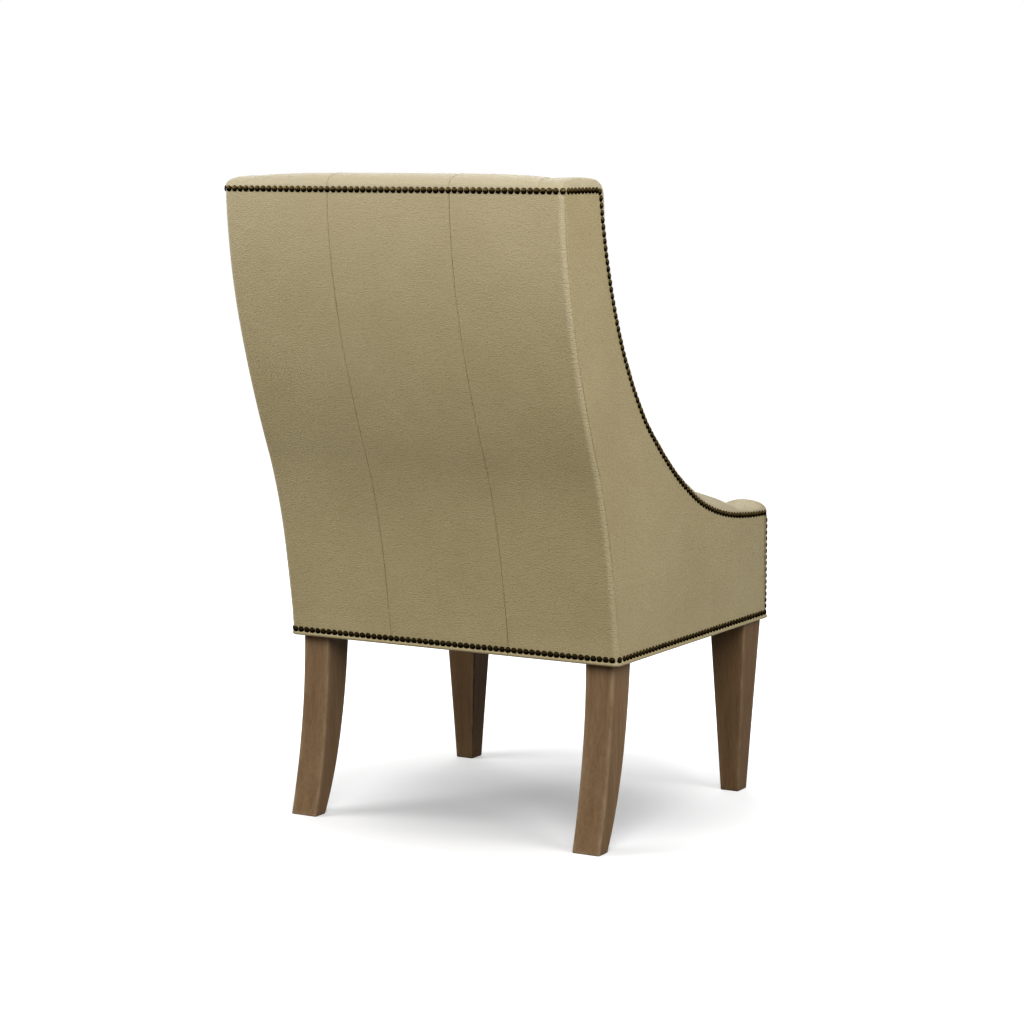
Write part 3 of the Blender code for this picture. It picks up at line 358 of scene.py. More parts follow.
def timber(name, light, dark, along, worn=None):
    """Timber with its grain along an axis: 0, 1 or 2."""
    made = Finish(name, 0.6, shine=0.03)
    slow = [1.0 if axis == along else 12.0 for axis in range(3)]
    fine = [2.0 if axis == along else 95.0 for axis in range(3)]
    pore = [26.0 if axis == along else 620.0 for axis in range(3)]
    streaks = made.noise(made.stretched(slow), 4.0, 3.0, 0.6)
    lines = made.noise(made.stretched(fine), 4.0, 5.0, 0.7)
    pores = made.cells(made.stretched(pore), 1.0)
    mixed = made.maths("ADD", made.maths("MULTIPLY", streaks, 0.45), made.maths("MULTIPLY", lines, 0.55))
    tone = made.blend(made.levels(mixed, 0.33, 0.67), dark, light)
    open_pore = made.levels(pores, 0.12, 0.3, 0.45, 0.0)
    tone = made.blend(open_pore, tone, [c * 0.45 for c in dark])
    if worn:
        wear = made.painted("wear")
        scuffs = made.noise(made.stretched((70.0, 70.0, 22.0)), 1.0, 4.0, 0.65)
        rubbed = made.maths("MULTIPLY", wear, made.levels(scuffs, 0.38, 0.62, 0.15, 1.0))
        tone = made.blend(made.maths("MULTIPLY", rubbed, 0.75), tone, worn)
    made.join(tone, "Base Color")
    made.join(made.levels(lines, 0.3, 0.7, 0.62, 0.46), "Roughness")
    height = made.maths("SUBTRACT", made.maths("MULTIPLY", lines, 0.6), open_pore)
    made.join(made.bump(height, 0.35, 0.0003), "Normal")
    return made.material


rear_leg_timber = timber("weathered_timber", STAIN_LIGHT, STAIN_DARK, 2, STAIN_WORN)
stains = (STAIN_LIGHT, STAIN_DARK, STAIN_WORN)
# The front legs get a darker copy of the stain as painted shade.
shaded_stains = [[c * share for c, share in zip(stain, FRONT_SHADE)] for stain in stains]
shaded_front_leg_timber = timber("shaded_weathered_timber", shaded_stains[0], shaded_stains[1], 2, shaded_stains[2])
bare_timber = [timber(f"bare_timber_{'xyz'[axis]}", BARE_LIGHT, BARE_DARK, axis) for axis in range(3)]

# %% [markdown]
# ### Metal, cloth and board
#
# The nail heads are antique bronze: nearly black lacquer with brown metal on
# their upper sides. That brown is partly rubbed wear and partly a painted
# highlight for light from above; the rims and the low rows are painted darker
# as shade. Each head carries this as a painted value called rubbed, and no two
# match. The lacquer keeps a brown tint where light grazes a head, so the rims
# don't mirror the white room. Spring steel, jute webbing, black cloth and brown
# fibreboard are hidden, and each has its own weave or speckle.

# %% Mix bronze and steel
BRONZE = (0.150, 0.104, 0.038)
BRONZE_DARK = (0.0030, 0.0017, 0.0006)
BRONZE_RIM = (0.30, 0.22, 0.12)


def antique_bronze():
    made = Finish("antique_bronze", 0.36, shine=0.0)
    made.surface.inputs["Specular Tint"].default_value = (*BRONZE_RIM, 1.0)
    # rubbed is partly wear and partly a painted highlight on the upper side of each head, with painted
    # shade at the rim and on the low rows.
    rubbed = made.painted("rubbed")
    patina = made.noise(made.place, 420.0, 4.0, 0.6)
    mixed = made.maths("MULTIPLY", made.levels(patina, 0.3, 0.7, 0.45, 1.0), rubbed)
    made.join(made.blend(mixed, BRONZE_DARK, BRONZE), "Base Color")
    made.join(made.levels(mixed, 0.0, 0.5, 0.0, 0.85), "Metallic")
    made.join(made.levels(patina, 0.3, 0.7, 0.46, 0.3), "Roughness")
    made.join(made.bump(patina, 0.2, 0.0002), "Normal")
    return made.material


def plain_steel():
    made = Finish("plain_steel", 0.36, 1.0)
    drawn = made.noise(made.stretched((900.0, 900.0, 900.0)), 1.0, 2.0)
    made.join(made.blend(drawn, (0.30, 0.30, 0.31), (0.50, 0.50, 0.52)), "Base Color")
    made.join(made.levels(drawn, 0.3, 0.7, 0.3, 0.45), "Roughness")
    return made.material


bronze = antique_bronze()
steel = plain_steel()

# %% Mix the cloths and the board
WEAVE_SCALE = 0.314


def woven(name, light, dark, pitch):
    """A plain weave, as two crossed sets of waves."""
    made = Finish(name, 0.92, shine=0.1)
    waves = []
    for axis in ("X", "Y"):
        wanted = {"Vector": made.place, "Scale": WEAVE_SCALE / pitch, "Distortion": 0.6, "Detail": 1.0}
        waves.append(made.add("TexWave", wanted, bands_direction=axis).outputs["Fac"])
    over = made.maths("MULTIPLY", waves[0], waves[1])
    fuzz = made.noise(made.place, 700.0, 2.0)
    made.join(made.blend(made.maths("MULTIPLY", over, fuzz), dark, light), "Base Color")
    made.join(made.bump(over, 0.5, 0.0004), "Normal")
    return made.material


def brown_board():
    made = Finish("brown_board", 0.9, shine=0.1)
    fibres = made.noise(made.place, 260.0, 5.0, 0.7)
    fleck = made.levels(fibres, 0.35, 0.65)
    made.join(made.blend(fleck, (0.26, 0.18, 0.11), (0.46, 0.34, 0.22)), "Base Color")
    made.join(made.bump(fibres, 0.3, 0.0002), "Normal")
    return made.material


bottoming = woven("black_bottoming_cloth", (0.035, 0.035, 0.035), (0.012, 0.012, 0.012), 0.0012)
jute = woven("jute_webbing", (0.62, 0.50, 0.32), (0.33, 0.25, 0.14), 0.0024)
board = brown_board()
print("finishes:", len(bpy.data.materials))

# %% [markdown]
# ## The lines of the chair
#
# Every cover follows two curves: the profile of the back, and the edge of the
# side that runs from the wing down a scoop to the arm. Both are Bezier curves
# of two arcs. A small class lets any line be walked by distance, which suits
# nails, stitches and seams alike.


# %% Walk along a line
class Line:
    """A line through points that can be walked by distance."""

    def __init__(self, points):
        self.points = np.array(points, float)
        steps = np.linalg.norm(np.diff(self.points, axis=0), axis=1)
        self.marks = np.concatenate([[0.0], np.cumsum(steps)])
        self.length = self.marks[-1]

    def at(self, distance):
        return np.array([np.interp(distance, self.marks, column) for column in self.points.T])

    def heading(self, distance, near=0.0015):
        ahead = self.at(min(distance + near, self.length))
        way = ahead - self.at(max(distance - near, 0.0))
        return way / np.linalg.norm(way)


def arc(start, start_lean, end, end_lean, fullness, steps=80):
    """A Bezier arc in the side plane that leaves and arrives at the given leans, in degrees."""
    start = np.array(start)
    end = np.array(end)
    handle = np.linalg.norm(end - start) * fullness
    leans = np.radians([start_lean, end_lean])
    first = start + handle * np.array([math.cos(leans[0]), math.sin(leans[0])])
    last = end - handle * np.array([math.cos(leans[1]), math.sin(leans[1])])
    t = np.linspace(0, 1, steps + 1)[:, None]
    s = 1 - t
    return start * s**3 + first * 3 * s**2 * t + last * 3 * s * t**2 + end * t**3


# %% Draw the back and the scoop
HALF = 0.3045
FRONT = -0.3635
REAR = 0.3635
BOTTOM = 0.2975
NAIL_TOP = 1.036
NAIL_BOTTOM = 0.3075

waist = (REAR - 0.1063, 0.6135)
lower = arc((REAR - 0.1805, BOTTOM), 81.3, waist, 66.7, 0.32)
upper = arc(waist, 66.7, (REAR, NAIL_TOP), 89.5, 0.32)
back_line = np.vstack([lower, upper[1:]])


def back_y(z):
    """The outside back at a height."""
    return np.interp(z, back_line[:, 1], back_line[:, 0])


EDGE_FRONT = FRONT + 0.004
# The edge is a touch fuller than its two arcs where it meets the arm and halfway up.
elbow = (REAR - 0.2945, 0.650)
scoop_upper = arc((REAR - 0.119, NAIL_TOP), 262.1, elbow, 222.9, 0.315)
scoop_lower = arc(elbow, 222.9, (EDGE_FRONT, 0.480), 181.8, 0.43)
edge_line = np.vstack([scoop_upper, scoop_lower[1:]])


def fuller(y, middle, reach, most):
    """A soft swell of a line around one place."""
    return most * np.exp(-(((y - middle) / reach) ** 2))


edge_line[:, 1] += fuller(edge_line[:, 0], -0.062, 0.028, 0.0010)
edge_line[:, 0] -= fuller(edge_line[:, 0], 0.125, 0.022, 0.0014)
scoop = Line(edge_line)
print("scoop", round(scoop.length, 3), "m")


# %% Measure the inside back


def ease(low, high, value):
    """0 below low, 1 above high, and an even S between."""
    t = np.clip((value - low) / (high - low), 0.0, 1.0)
    return t * t * (3 - 2 * t)


SEAT_SIDE = 0.490
SEAT_SEAM = 0.455
BACK_DEPTH_SEAT = 0.105
BACK_DEPTH_TOP = 0.078
CREST_FRONT_DROP = 0.045
CREST = 1.0609


def inside_y(z):
    """Front of the inside back at its seams."""
    share = ease(SEAT_SIDE, CREST - CREST_FRONT_DROP, z)
    return back_y(z) - BACK_DEPTH_SEAT + (BACK_DEPTH_SEAT - BACK_DEPTH_TOP) * share


# %% [markdown]
# ## Making a cover
#
# A cover is a quad grid of points with a thickness. Where two covers are sewn,
# the hide rolls down into the seam and puckers a little at each stitch, so the
# grid is fine near a seam and coarse elsewhere. One function gives the roll,
# one gives the pucker, and one turns a grid into a piece of leather.

# %% Roll and pucker at a seam
SEAM_ROLL = 0.0017
PUCKER = 0.00022
PUCKER_LENGTH = 0.0092
HIDE_THICKNESS = 0.0017


def roll(distance, radius=SEAM_ROLL):
    """How far the hide dips at this distance from its seam."""
    inside = np.clip(radius - distance, 0.0, radius)
    return radius - np.sqrt(radius**2 - inside**2)


def pucker(distance, along):
    """The small rise and fall beside the stitches."""
    cycles = 2 * np.pi * along / PUCKER_LENGTH
    beat = np.sin(cycles) + 0.5 * np.sin(cycles / 1.41 + 1.3)
    return PUCKER * beat * np.exp(-distance / 0.006) * np.clip(distance / 0.0015, 0, 1)


def spread(length, near=0.0004, coarse=0.012, growth=1.45):
    """Distances from a seam, close at first and then at an even step."""
    marks = [0.0]
    step = near
    while marks[-1] + step < length:
        marks.append(marks[-1] + step)
        step = min(step * growth, coarse)
    marks.append(length)
    if marks[-1] - marks[-2] < 0.4 * step and len(marks) > 2:
        del marks[-2]
    return np.array(marks)


def seam_to_seam(low, high, **how):
    """Places from low to high, close together at both ends."""
    half = spread((high - low) / 2, **how)
    return np.concatenate([low + half, (high - half[::-1])[1:]])


def waver(point, size, depth, shift=0.0):
    """Slow unevenness of a stretched hide."""
    return depth * noise.noise(Vector(point) / size + Vector((shift, 0.0, 0.0)))


# %% Turn a grid into leather


def mesh_piece(name, points, faces, material, outward=None):
    """A mesh object whose faces look the given way on the whole."""
    mesh = bpy.data.meshes.new(name)
    mesh.from_pydata([tuple(p) for p in points], [], faces)
    mesh.update()
    if outward is not None:
        total = sum((Vector(f.normal) * f.area for f in mesh.polygons), Vector())
        if total.dot(Vector(outward)) < 0:
            mesh.flip_normals()
    mesh.shade_smooth()
    mesh.materials.append(material)
    piece = bpy.data.objects.new(name, mesh)
    scene.collection.objects.link(piece)
    return piece


def paint(piece, name, values):
    """Stores a value for each point, which a finish can read."""
    mark = piece.data.attributes.new(name, "FLOAT", "POINT")
    mark.data.foreach_set("value", np.array(values, float))


def grid_faces(rows, columns):
    faces = []
    for r in range(rows - 1):
        for c in range(columns - 1):
            a = r * columns + c
            faces.append((a, a + 1, a + columns + 1, a + columns))
    return faces


def thicken(piece, thickness=HIDE_THICKNESS):
    solid = piece.modifiers.new("hide_thickness", "SOLIDIFY")
    solid.thickness = thickness
    solid.offset = -1
    return piece


def cover(name, grid, outward, material=leather, thickness=HIDE_THICKNESS, crease_and_highlight=None):
    """A cover through a grid of points (rows, columns, 3). creased has a value for each column."""
    grid = np.asarray(grid)
    rows, columns = grid.shape[:2]
    piece = mesh_piece(name, grid.reshape(-1, 3), grid_faces(rows, columns), material, outward)
    if crease_and_highlight is not None:
        paint(piece, "crease_and_highlight", np.tile(crease_and_highlight, rows))
    return thicken(piece, thickness)


def belongs(piece, slot, *nodes):
    """The piece moves with the chair and stands for these nodes; slot is not used."""
    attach(piece, "root")
    if nodes:
        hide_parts(*nodes)
    return piece


# %% [markdown]
# ## Outside back
#
# Three panels cover the back board. The outer two turn the rounded rear corner
# and are sewn to the side just past it. In plan each panel is a short path with
# a direction outwards, and that same path is repeated at every height along the
# profile. Below the bottom nails the hide ends in a soft rolled lip, so the
# lowest rows swell out and tuck under.

# %% Sizes of the outside back
BACK_SEAM = 0.110
CORNER = 0.009
SIDE_SEAM = 0.011
SIDES = (("left", 1), ("right", -1))
LIP_START = 0.3046
PANEL_START = LIP_START + 0.003
LIP_RISE = 0.0030
LIP_ROUND = 0.0028
FRONT_ROUND = 0.0045


def flare(z):
    """The hide stands out a little towards its rolled bottom edge."""
    return 0.0012 * (1 - float(ease(LIP_START, 0.345, z)))


def lip_rows():
    """The rolled bottom edge: how far out, and at what height, from the underside up."""
    rows = [(-0.012, BOTTOM + 0.0009)]
    centre = BOTTOM + LIP_ROUND
    for turn in np.linspace(-90, 55, 9):
        out = LIP_RISE - LIP_ROUND + LIP_ROUND * math.cos(math.radians(turn))
        rows.append((out, centre + LIP_ROUND * math.sin(math.radians(turn))))
    rows.append((0.0004, LIP_START))
    return rows


def height_rows(top, step=0.003):
    """(out, height) for each row, from the lip up to the top."""
    count = int((top - PANEL_START) / step)
    return lip_rows() + [(0.0, z) for z in np.linspace(PANEL_START, top, count + 1)]


def calmed(distance):
    """0 at a held edge and 1 from two centimetres on, so that unevenness fades towards it."""
    return min(max(distance / 0.02, 0.0), 1.0)


# %% Plan path of each panel


def straight_plan(half):
    """(x, back from the profile, outward x, outward y, distance to the seam)."""
    return [(x, 0.0, 0.0, 1.0, half - abs(x)) for x in seam_to_seam(-half, half)]


def corner_plan(side):
    flat = HALF - CORNER - BACK_SEAM
    plan = []
    for d in spread(flat):
        plan.append((BACK_SEAM + d, 0.0, 0.0, 1.0, d))
    turn_length = CORNER * math.pi / 2
    run_on = SIDE_SEAM - CORNER
    for share in np.linspace(0, 1, 11)[1:]:
        turn = share * math.pi / 2
        x = HALF - CORNER + CORNER * math.sin(turn)
        left = (1 - share) * turn_length + run_on
        plan.append((x, CORNER * math.cos(turn) - CORNER, math.sin(turn), math.cos(turn), left))
    for d in spread(run_on)[::-1][1:]:
        plan.append((HALF, -SIDE_SEAM + d, 1.0, 0.0, d))
    return [(side * x, y, side * ox, oy, d) for x, y, ox, oy, d in plan]


# %% Sew the three panels
# How strong the painted highlight on the upper back is, and the height where it starts.
TOP_HIGHLIGHT = 0.15
HIGHLIGHT_FROM = 0.64
NAIL_DENT = 0.0005
DENT_REACH = 0.006


def back_panel(word, plan, shift):
    grid = []
    for out, z in height_rows(NAIL_TOP - 0.0003):
        row = []
        for x, y, out_x, out_y, d in plan:
            calm = calmed(z - LIP_START)
            rise = out - roll(d) + calm * (pucker(d, z) + waver((x, y, z), 0.13, 0.0007, shift))
            rise += flare(z) - NAIL_DENT * math.exp(-(((z - NAIL_TOP) / DENT_REACH) ** 2))
            row.append((x + out_x * rise, back_y(z) + y + out_y * rise, z))
        grid.append(row)
    # The rounded corner gets fine ridges and a painted highlight.
    crease_and_highlight = [min(abs(out_x) * 2, 1.0) if abs(out_x) < 1 else 0.4 for _, _, out_x, _, _ in plan]
    piece = cover("outside_back_panel_" + word, grid, (0, 1, 0), crease_and_highlight=crease_and_highlight)
    # Painted highlight: the upper back grows paler towards the top, where light from above falls.
    pale = [TOP_HIGHLIGHT * float(ease(HIGHLIGHT_FROM, NAIL_TOP, v.co.z)) for v in piece.data.vertices]
    paint(piece, "stretched", pale)
    return belongs(piece, "leather", "outside_back_" + word)


back_panel("centre", straight_plan(BACK_SEAM - 0.0001), 0.0)
back_panel("left", corner_plan(1), 3.1)
back_panel("right", corner_plan(-1), 7.7)
print("outside back rows:", len(height_rows(NAIL_TOP)))

# %% [markdown]
# ## The edge of the side
#
# Stations along the edge carry what the padding does there: how far the hide
# stands straight above the nails, how much it bulges, and how square the bulge
# is. The wing's top is boxy, the scoop is round, and the arm's front is flat
# with soft corners. The side panel and the arm padding both read these.

# %% Set out the stations
PAD_INNER = 0.2303
STAND = 0.006
STAND_REAR = 0.0023
WING_BULGE = 0.0112
WING_WORN = 0.0018
SCOOP_BULGE = 0.0150
WING_ROUND = 0.032
WING_CORNER = 0.008
ARM_CORNER = 0.004
FRONT_STAND = 0.0002
FRONT_BULGE = 0.0037
BLEND = 0.08


def quadratic(before, corner, after, steps):
    t = np.linspace(0, 1, steps + 1)[:, None]
    return before * (1 - t) ** 2 + corner * 2 * t * (1 - t) + after * t * t


WING_DEPTHS = [0.0, 0.0012, 0.003, 0.0055, 0.009, 0.013, 0.018, 0.025]
WING_DEPTHS += [0.032, 0.042, 0.052, 0.062, 0.072, 0.085, 0.098]
BOXY = 4.0
ROUND = 2.0
ARM_WAVE = [
    (-0.357, 0.0008), (-0.346, -0.0006), (-0.332, -0.0072), (-0.320, -0.0080), (-0.307, -0.0058),
    (-0.294, -0.0056), (-0.282, -0.0063), (-0.269, -0.0060), (-0.257, -0.0046), (-0.244, -0.0012),
    (-0.232, 0.0012), (-0.215, 0.0036), (-0.200, 0.0046), (-0.165, 0.0046), (-0.130, 0.0030),
    (-0.085, 0.0008), (-0.055, 0.0010), (-0.030, 0.0002), (-0.010, -0.0010), (0.008, -0.0013),
    (0.033, -0.0012), (0.050, 0.0),
]


def arm_wave(y):
    """The padding of the arm is full in the middle, dips and fills again at the front."""
    return float(np.interp(y, *zip(*ARM_WAVE)))


def set_out_stations():
    """Rows of y, z, stand, bulge, squareness, distance from the back and how boxed they are."""
    rows = []
    tip = scoop.at(0)
    reach = REAR - tip[0] - WING_CORNER
    for depth in WING_DEPTHS + [reach]:
        risen = math.sqrt(1 - max(1 - depth / WING_ROUND, 0.0) ** 2)
        stand = STAND_REAR + (STAND - STAND_REAR) * risen
        rows.append((REAR - depth, NAIL_TOP, stand, WING_BULGE * risen, BOXY, depth, 0.0))
    before = np.array([REAR - reach, NAIL_TOP])
    for i, place in enumerate(quadratic(before, tip, scoop.at(WING_CORNER), 5)[1:], 1):
        bulge = WING_BULGE - WING_WORN * math.sin(math.pi * i / 5)
        rows.append((*place, STAND, bulge, BOXY, 1.0, 0.0))
    last = scoop.length - ARM_CORNER
    for distance in np.linspace(WING_CORNER, last, 84)[1:]:
        share = ease(0.0, BLEND, distance)
        bulge = WING_BULGE + (SCOOP_BULGE - WING_BULGE) * share
        place = scoop.at(distance)
        square = BOXY + (ROUND - BOXY) * share
        rows.append((*place, STAND, bulge + arm_wave(place[0]), square, 1.0, 0.0))
    end = scoop.at(scoop.length)
    turn = quadratic(scoop.at(last), end, end - np.array([0.0, ARM_CORNER]), 6)[1:]
    full = SCOOP_BULGE + arm_wave(EDGE_FRONT)
    for i, place in enumerate(turn, 1):
        share = i / 6
        bulge = FRONT_BULGE + (full - FRONT_BULGE) * (1 - share) ** 1.2
        stand = STAND + (FRONT_STAND - STAND) * share
        rows.append((*place, stand, bulge, ROUND + (BOXY - ROUND) * share, 1.0, share))
    for z in np.linspace(turn[-1][1], BOTTOM + 0.0065, 30)[1:]:
        rows.append((EDGE_FRONT, z, FRONT_STAND + flare(z), FRONT_BULGE, BOXY, 1.0, 1.0))
    return np.array(rows)


stations = set_out_stations()
ahead = np.vstack([stations[1:, :2], stations[-1:, :2]])
behind = np.vstack([stations[:1, :2], stations[:-1, :2]])
heading = ahead - behind
heading /= np.linalg.norm(heading, axis=1)[:, None]
outward = np.stack([heading[:, 1], -heading[:, 0]], axis=1)
# The top of the wing is level and the front of the arm is upright.
outward[:14] = (0.0, 1.0)
outward[-28:] = (-1.0, 0.0)
print("stations:", len(stations))

# %% [markdown]
# ### Outside side panel
#
# The side is one flat hide from the seam behind it to the nails along its edge.
# It is ruled: each station is joined by a straight line to a place on the rear
# seam or the bottom edge. The rows bunch up at both ends, where the seam roll
# and the nail line pull the leather in.

# %% Rule the side panels
CORNER_SHARE = 0.70
EDGE_GAP = 0.0002
SHARES = [0, 0.015, 0.035, 0.065, *np.linspace(0.11, 0.93, 15), 0.955, 0.975, 0.988, 0.996, 1.0]


def opposite_side():
    """For each station, its place on the rear seam, then along the bottom."""
    rear = [(back_y(z) - SIDE_SEAM, z) for z in np.linspace(NAIL_TOP, PANEL_START, 90)]
    front = (EDGE_FRONT + 0.0015, PANEL_START)
    route = Line(rear + [front])
    path = Line(stations[:, :2])
    corner = Line(rear).length / route.length
    shares = path.marks / path.length
    bent = np.interp(shares, (0.0, CORNER_SHARE, 1.0), (0.0, corner, 1.0))
    return np.array([route.at(share * route.length) for share in bent])


def side_panel(word, side):
    first = int(np.argmax(stations[:, 5] >= SIDE_SEAM - 0.001))
    start = stations[first:, :2] - outward[first:] * EDGE_GAP
    start[:, 0] = np.minimum(start[:, 0], REAR - SIDE_SEAM - EDGE_GAP)
    start[:, 0] = np.maximum(start[:, 0], EDGE_FRONT + 0.0015)
    start[:, 1] = np.maximum(start[:, 1], PANEL_START)
    end = opposite_side()[first:]
    grid = []
    for share in SHARES:
        row = []
        for (y0, z0), (y1, z1) in zip(start, end):
            y = y0 + (y1 - y0) * share
            z = z0 + (z1 - z0) * share
            seam = max(back_y(z) - SIDE_SEAM - y, 0.0)
            near_edge = math.hypot(y - y0, z - z0)
            calm = calmed(near_edge) * calmed(z - LIP_START)
            rise = pucker(seam, z) - roll(seam) + calm * waver((0.3 * side, y, z), 0.15, 0.0008, 2.3)
            rise += flare(z) - NAIL_DENT * math.exp(-((near_edge / DENT_REACH) ** 2))
            row.append((side * (HALF + rise), y, z))
        grid.append(row)
    piece = cover("outside_side_panel_" + word, grid, (side, 0, 0))
    return belongs(piece, "leather", "outside_side_" + word)


for word, side in SIDES:
    side_panel(word, side)


# %% [markdown]
# The lip under the bottom nails runs on from the back, along each side and
# across the front. It is one narrow strip of hide swept along the plan of the
# chair, with the same section as the lowest rows of the back panels.

# %% Sweep the lip along the sides and the front


def sweep_lip(name, plan, outward_way):
    """A lip along plan points (x, y, outward x, outward y)."""
    section = lip_rows() + [(0.0, LIP_START + 0.0032)]
    grid = []
    for out, z in section:
        out += flare(z)
        grid.append([(x + ox * out, y + oy * out, z) for x, y, ox, oy in plan])
    return cover(name, grid, outward_way)


def side_lip_plan(side):
    rear = back_y(BOTTOM + 0.004) - SIDE_SEAM
    r = FRONT_ROUND
    ys = np.linspace(rear, FRONT + r, 60)
    plan = [(side * HALF, y, side, 0.0) for y in ys]
    for turn in np.radians([22.5, 45, 67.5, 90]):
        x = HALF - r + r * math.cos(turn)
        plan.append((side * x, FRONT + r - r * math.sin(turn), side * math.cos(turn), -math.sin(turn)))
    plan.append((side * (PAD_INNER + 0.0004), FRONT, 0.0, -1.0))
    return plan


for word, side in SIDES:
    lip = sweep_lip("side_lip_" + word, side_lip_plan(side), (side, -0.3, 0))
    belongs(lip, "leather")

# %% [markdown]
# ## Letting leather swell
#
# Padding pushes the hide out between its fixed edges. The cloth solver does
# this well: the points at the nails and seams are held, a little pressure fills
# the rest, and each point may move only a few millimetres. The result is
# written into the mesh, and one subdivision smooths it.

# %% A helper that swells a cover
SWELL_STEPS = 20


def swell(piece, held, pressure, most, slack=0.0, bending=8.0):
    """Moves the free points of a cover out under pressure, by at most the given distance."""
    mesh = piece.data
    count = len(mesh.vertices)
    before = np.empty(count * 3)
    mesh.vertices.foreach_get("co", before)
    before = before.reshape(-1, 3)
    pins = piece.vertex_groups.new(name="held")
    for index in np.nonzero(held >= 1)[0]:
        pins.add([int(index)], 1.0, "REPLACE")
    cloth = piece.modifiers.new("swell", "CLOTH")
    cloth.settings.quality = 6
    cloth.settings.mass = 0.35
    cloth.settings.air_damping = 4.0
    cloth.settings.tension_stiffness = 30
    cloth.settings.compression_stiffness = 30
    cloth.settings.shear_stiffness = 10
    cloth.settings.bending_stiffness = bending
    cloth.settings.shrink_min = -slack
    cloth.settings.vertex_group_mass = "held"
    cloth.settings.use_pressure = True
    cloth.settings.uniform_pressure_force = pressure
    cloth.settings.effector_weights.gravity = 0.0
    cloth.collision_settings.use_collision = False
    cloth.point_cache.frame_start = 1
    cloth.point_cache.frame_end = SWELL_STEPS
    for number in range(1, SWELL_STEPS + 1):
        scene.frame_set(number)
    graph = bpy.context.evaluated_depsgraph_get()
    after = np.empty(count * 3)
    piece.evaluated_get(graph).to_mesh().vertices.foreach_get("co", after)
    piece.evaluated_get(graph).to_mesh_clear()
    after = after.reshape(-1, 3)
    piece.modifiers.remove(cloth)
    scene.frame_set(1)
    moved = after - before
    length = np.linalg.norm(moved, axis=1)
    kept = most * np.tanh(length / most)
    moved *= ((1 - held) * kept / np.maximum(length, 1e-9))[:, None]
    mesh.vertices.foreach_set("co", (before + moved).ravel())
    mesh.update()
    print(piece.name, "swelled by up to", round(float(kept.max()) * 1000, 1), "mm")
    return piece


def smooth_piece(name, grid, outward_way, held, pressure, most, slack=0.0, bending=8.0):
    """A padded cover: a grid that swells, is smoothed and gets its thickness."""
    grid = np.asarray(grid)
    rows, columns = grid.shape[:2]
    piece = mesh_piece(name, grid.reshape(-1, 3), grid_faces(rows, columns), leather, outward_way)
    swell(piece, np.asarray(held).ravel(), pressure, most, slack, bending)
    finer = piece.modifiers.new("finer", "SUBSURF")
    finer.levels = 1
    finer.render_levels = 1
    return thicken(piece)


# %% [markdown]
# ## Arm padding
#
# One long pad runs from the rear corner over the wing, down the scoop and over
# the arm, then down the front. Each station has a section: up from the nails,
# over the pad and down the inner face, behind the inside back or under the
# seat. Points that are tucked away are held, and the rest swells.

# %% Shape the section of the pad
PAD_STEPS = 22
TUCK = 0.012
TUCK_END = 0.42


def foot_places():
    """Where each section ends: behind the inside back, then below the seat."""
    route = [(REAR - BACK_DEPTH_TOP + TUCK, NAIL_TOP + 0.0003)]
    for z in np.linspace(NAIL_TOP - 0.022, TUCK_END, 60):
        route.append((inside_y(z) + TUCK, z))
    route.append((EDGE_FRONT + TUCK, TUCK_END))
    route = Line(route)
    path = Line(stations[:, :2])
    inner = stations[:, 0] < REAR - BACK_DEPTH_TOP + TUCK
    above = stations[:, 1] > TUCK_END + 0.004
    used = np.nonzero(inner & above)[0]
    first, last = path.marks[used[0] - 1], path.marks[used[-1]]
    feet = stations[:, :2] + outward * 0.0004
    for i in used:
        feet[i] = route.at((path.marks[i] - first) / (last - first) * route.length)
    return feet


CREST_SPREAD = 0.033
CREST_OVERLAP = 0.004
CREST_GONE = 0.112


def inner_edge(from_back):
    """The crest spreads a little over the wing, so the pad's inner edge stands back there."""
    gone = float(ease(BACK_DEPTH_TOP, CREST_GONE, from_back))
    return PAD_INNER + (CREST_SPREAD - CREST_OVERLAP) * (1 - gone)


def outer_edge(from_back):
    past = min(from_back, CORNER)
    return HALF - CORNER + math.sqrt(CORNER**2 - (CORNER - past) ** 2)


def box_section(reach, height):
    """Half a flat box with two round corners, from the outer edge over to the inner one."""
    arc_turns = np.linspace(0, math.pi / 2, 6)
    outer = [(reach - height + height * math.cos(t), height * math.sin(t)) for t in arc_turns]
    inner = [(-x, up) for x, up in outer[::-1]]
    flat = np.linspace(reach - height, height - reach, PAD_STEPS + 3 - len(outer) * 2 + 1)[1:-1]
    return outer + [(x, height) for x in flat] + inner


def pad_grid(side):
    feet = foot_places()
    grid = []
    for i, (y, z, stand, bulge, square, from_back, boxed) in enumerate(stations):
        place = np.array([y, z])
        edge = outer_edge(from_back)
        inner = inner_edge(from_back)
        middle = (edge + inner) / 2
        reach = (edge - inner) / 2
        row = [(side * edge, *(place + outward[i] * lift)) for lift in (0.0002, stand * 0.5)]
        turns = np.linspace(0, math.pi, PAD_STEPS + 1)
        for turn, (box_across, box_up) in zip(turns, box_section(reach, bulge)):
            flat = square if turn < math.pi / 2 else square + 8.0 * (inner - PAD_INNER) / CREST_SPREAD
            across = reach * math.copysign(abs(math.cos(turn)) ** (2 / flat), math.cos(turn))
            up = bulge * max(math.sin(turn), 0.0) ** (2 / flat)
            across += (box_across - across) * boxed
            up += (box_up - up) * boxed
            row.append((side * (middle + across), *(place + outward[i] * (stand + up))))
        shoulder = np.array(row[-1][1:])
        for share in np.linspace(0, 1, 13)[1:]:
            row.append((side * inner, *(shoulder + (feet[i] - shoulder) * share)))
        grid.append(row)
    return np.array(grid)


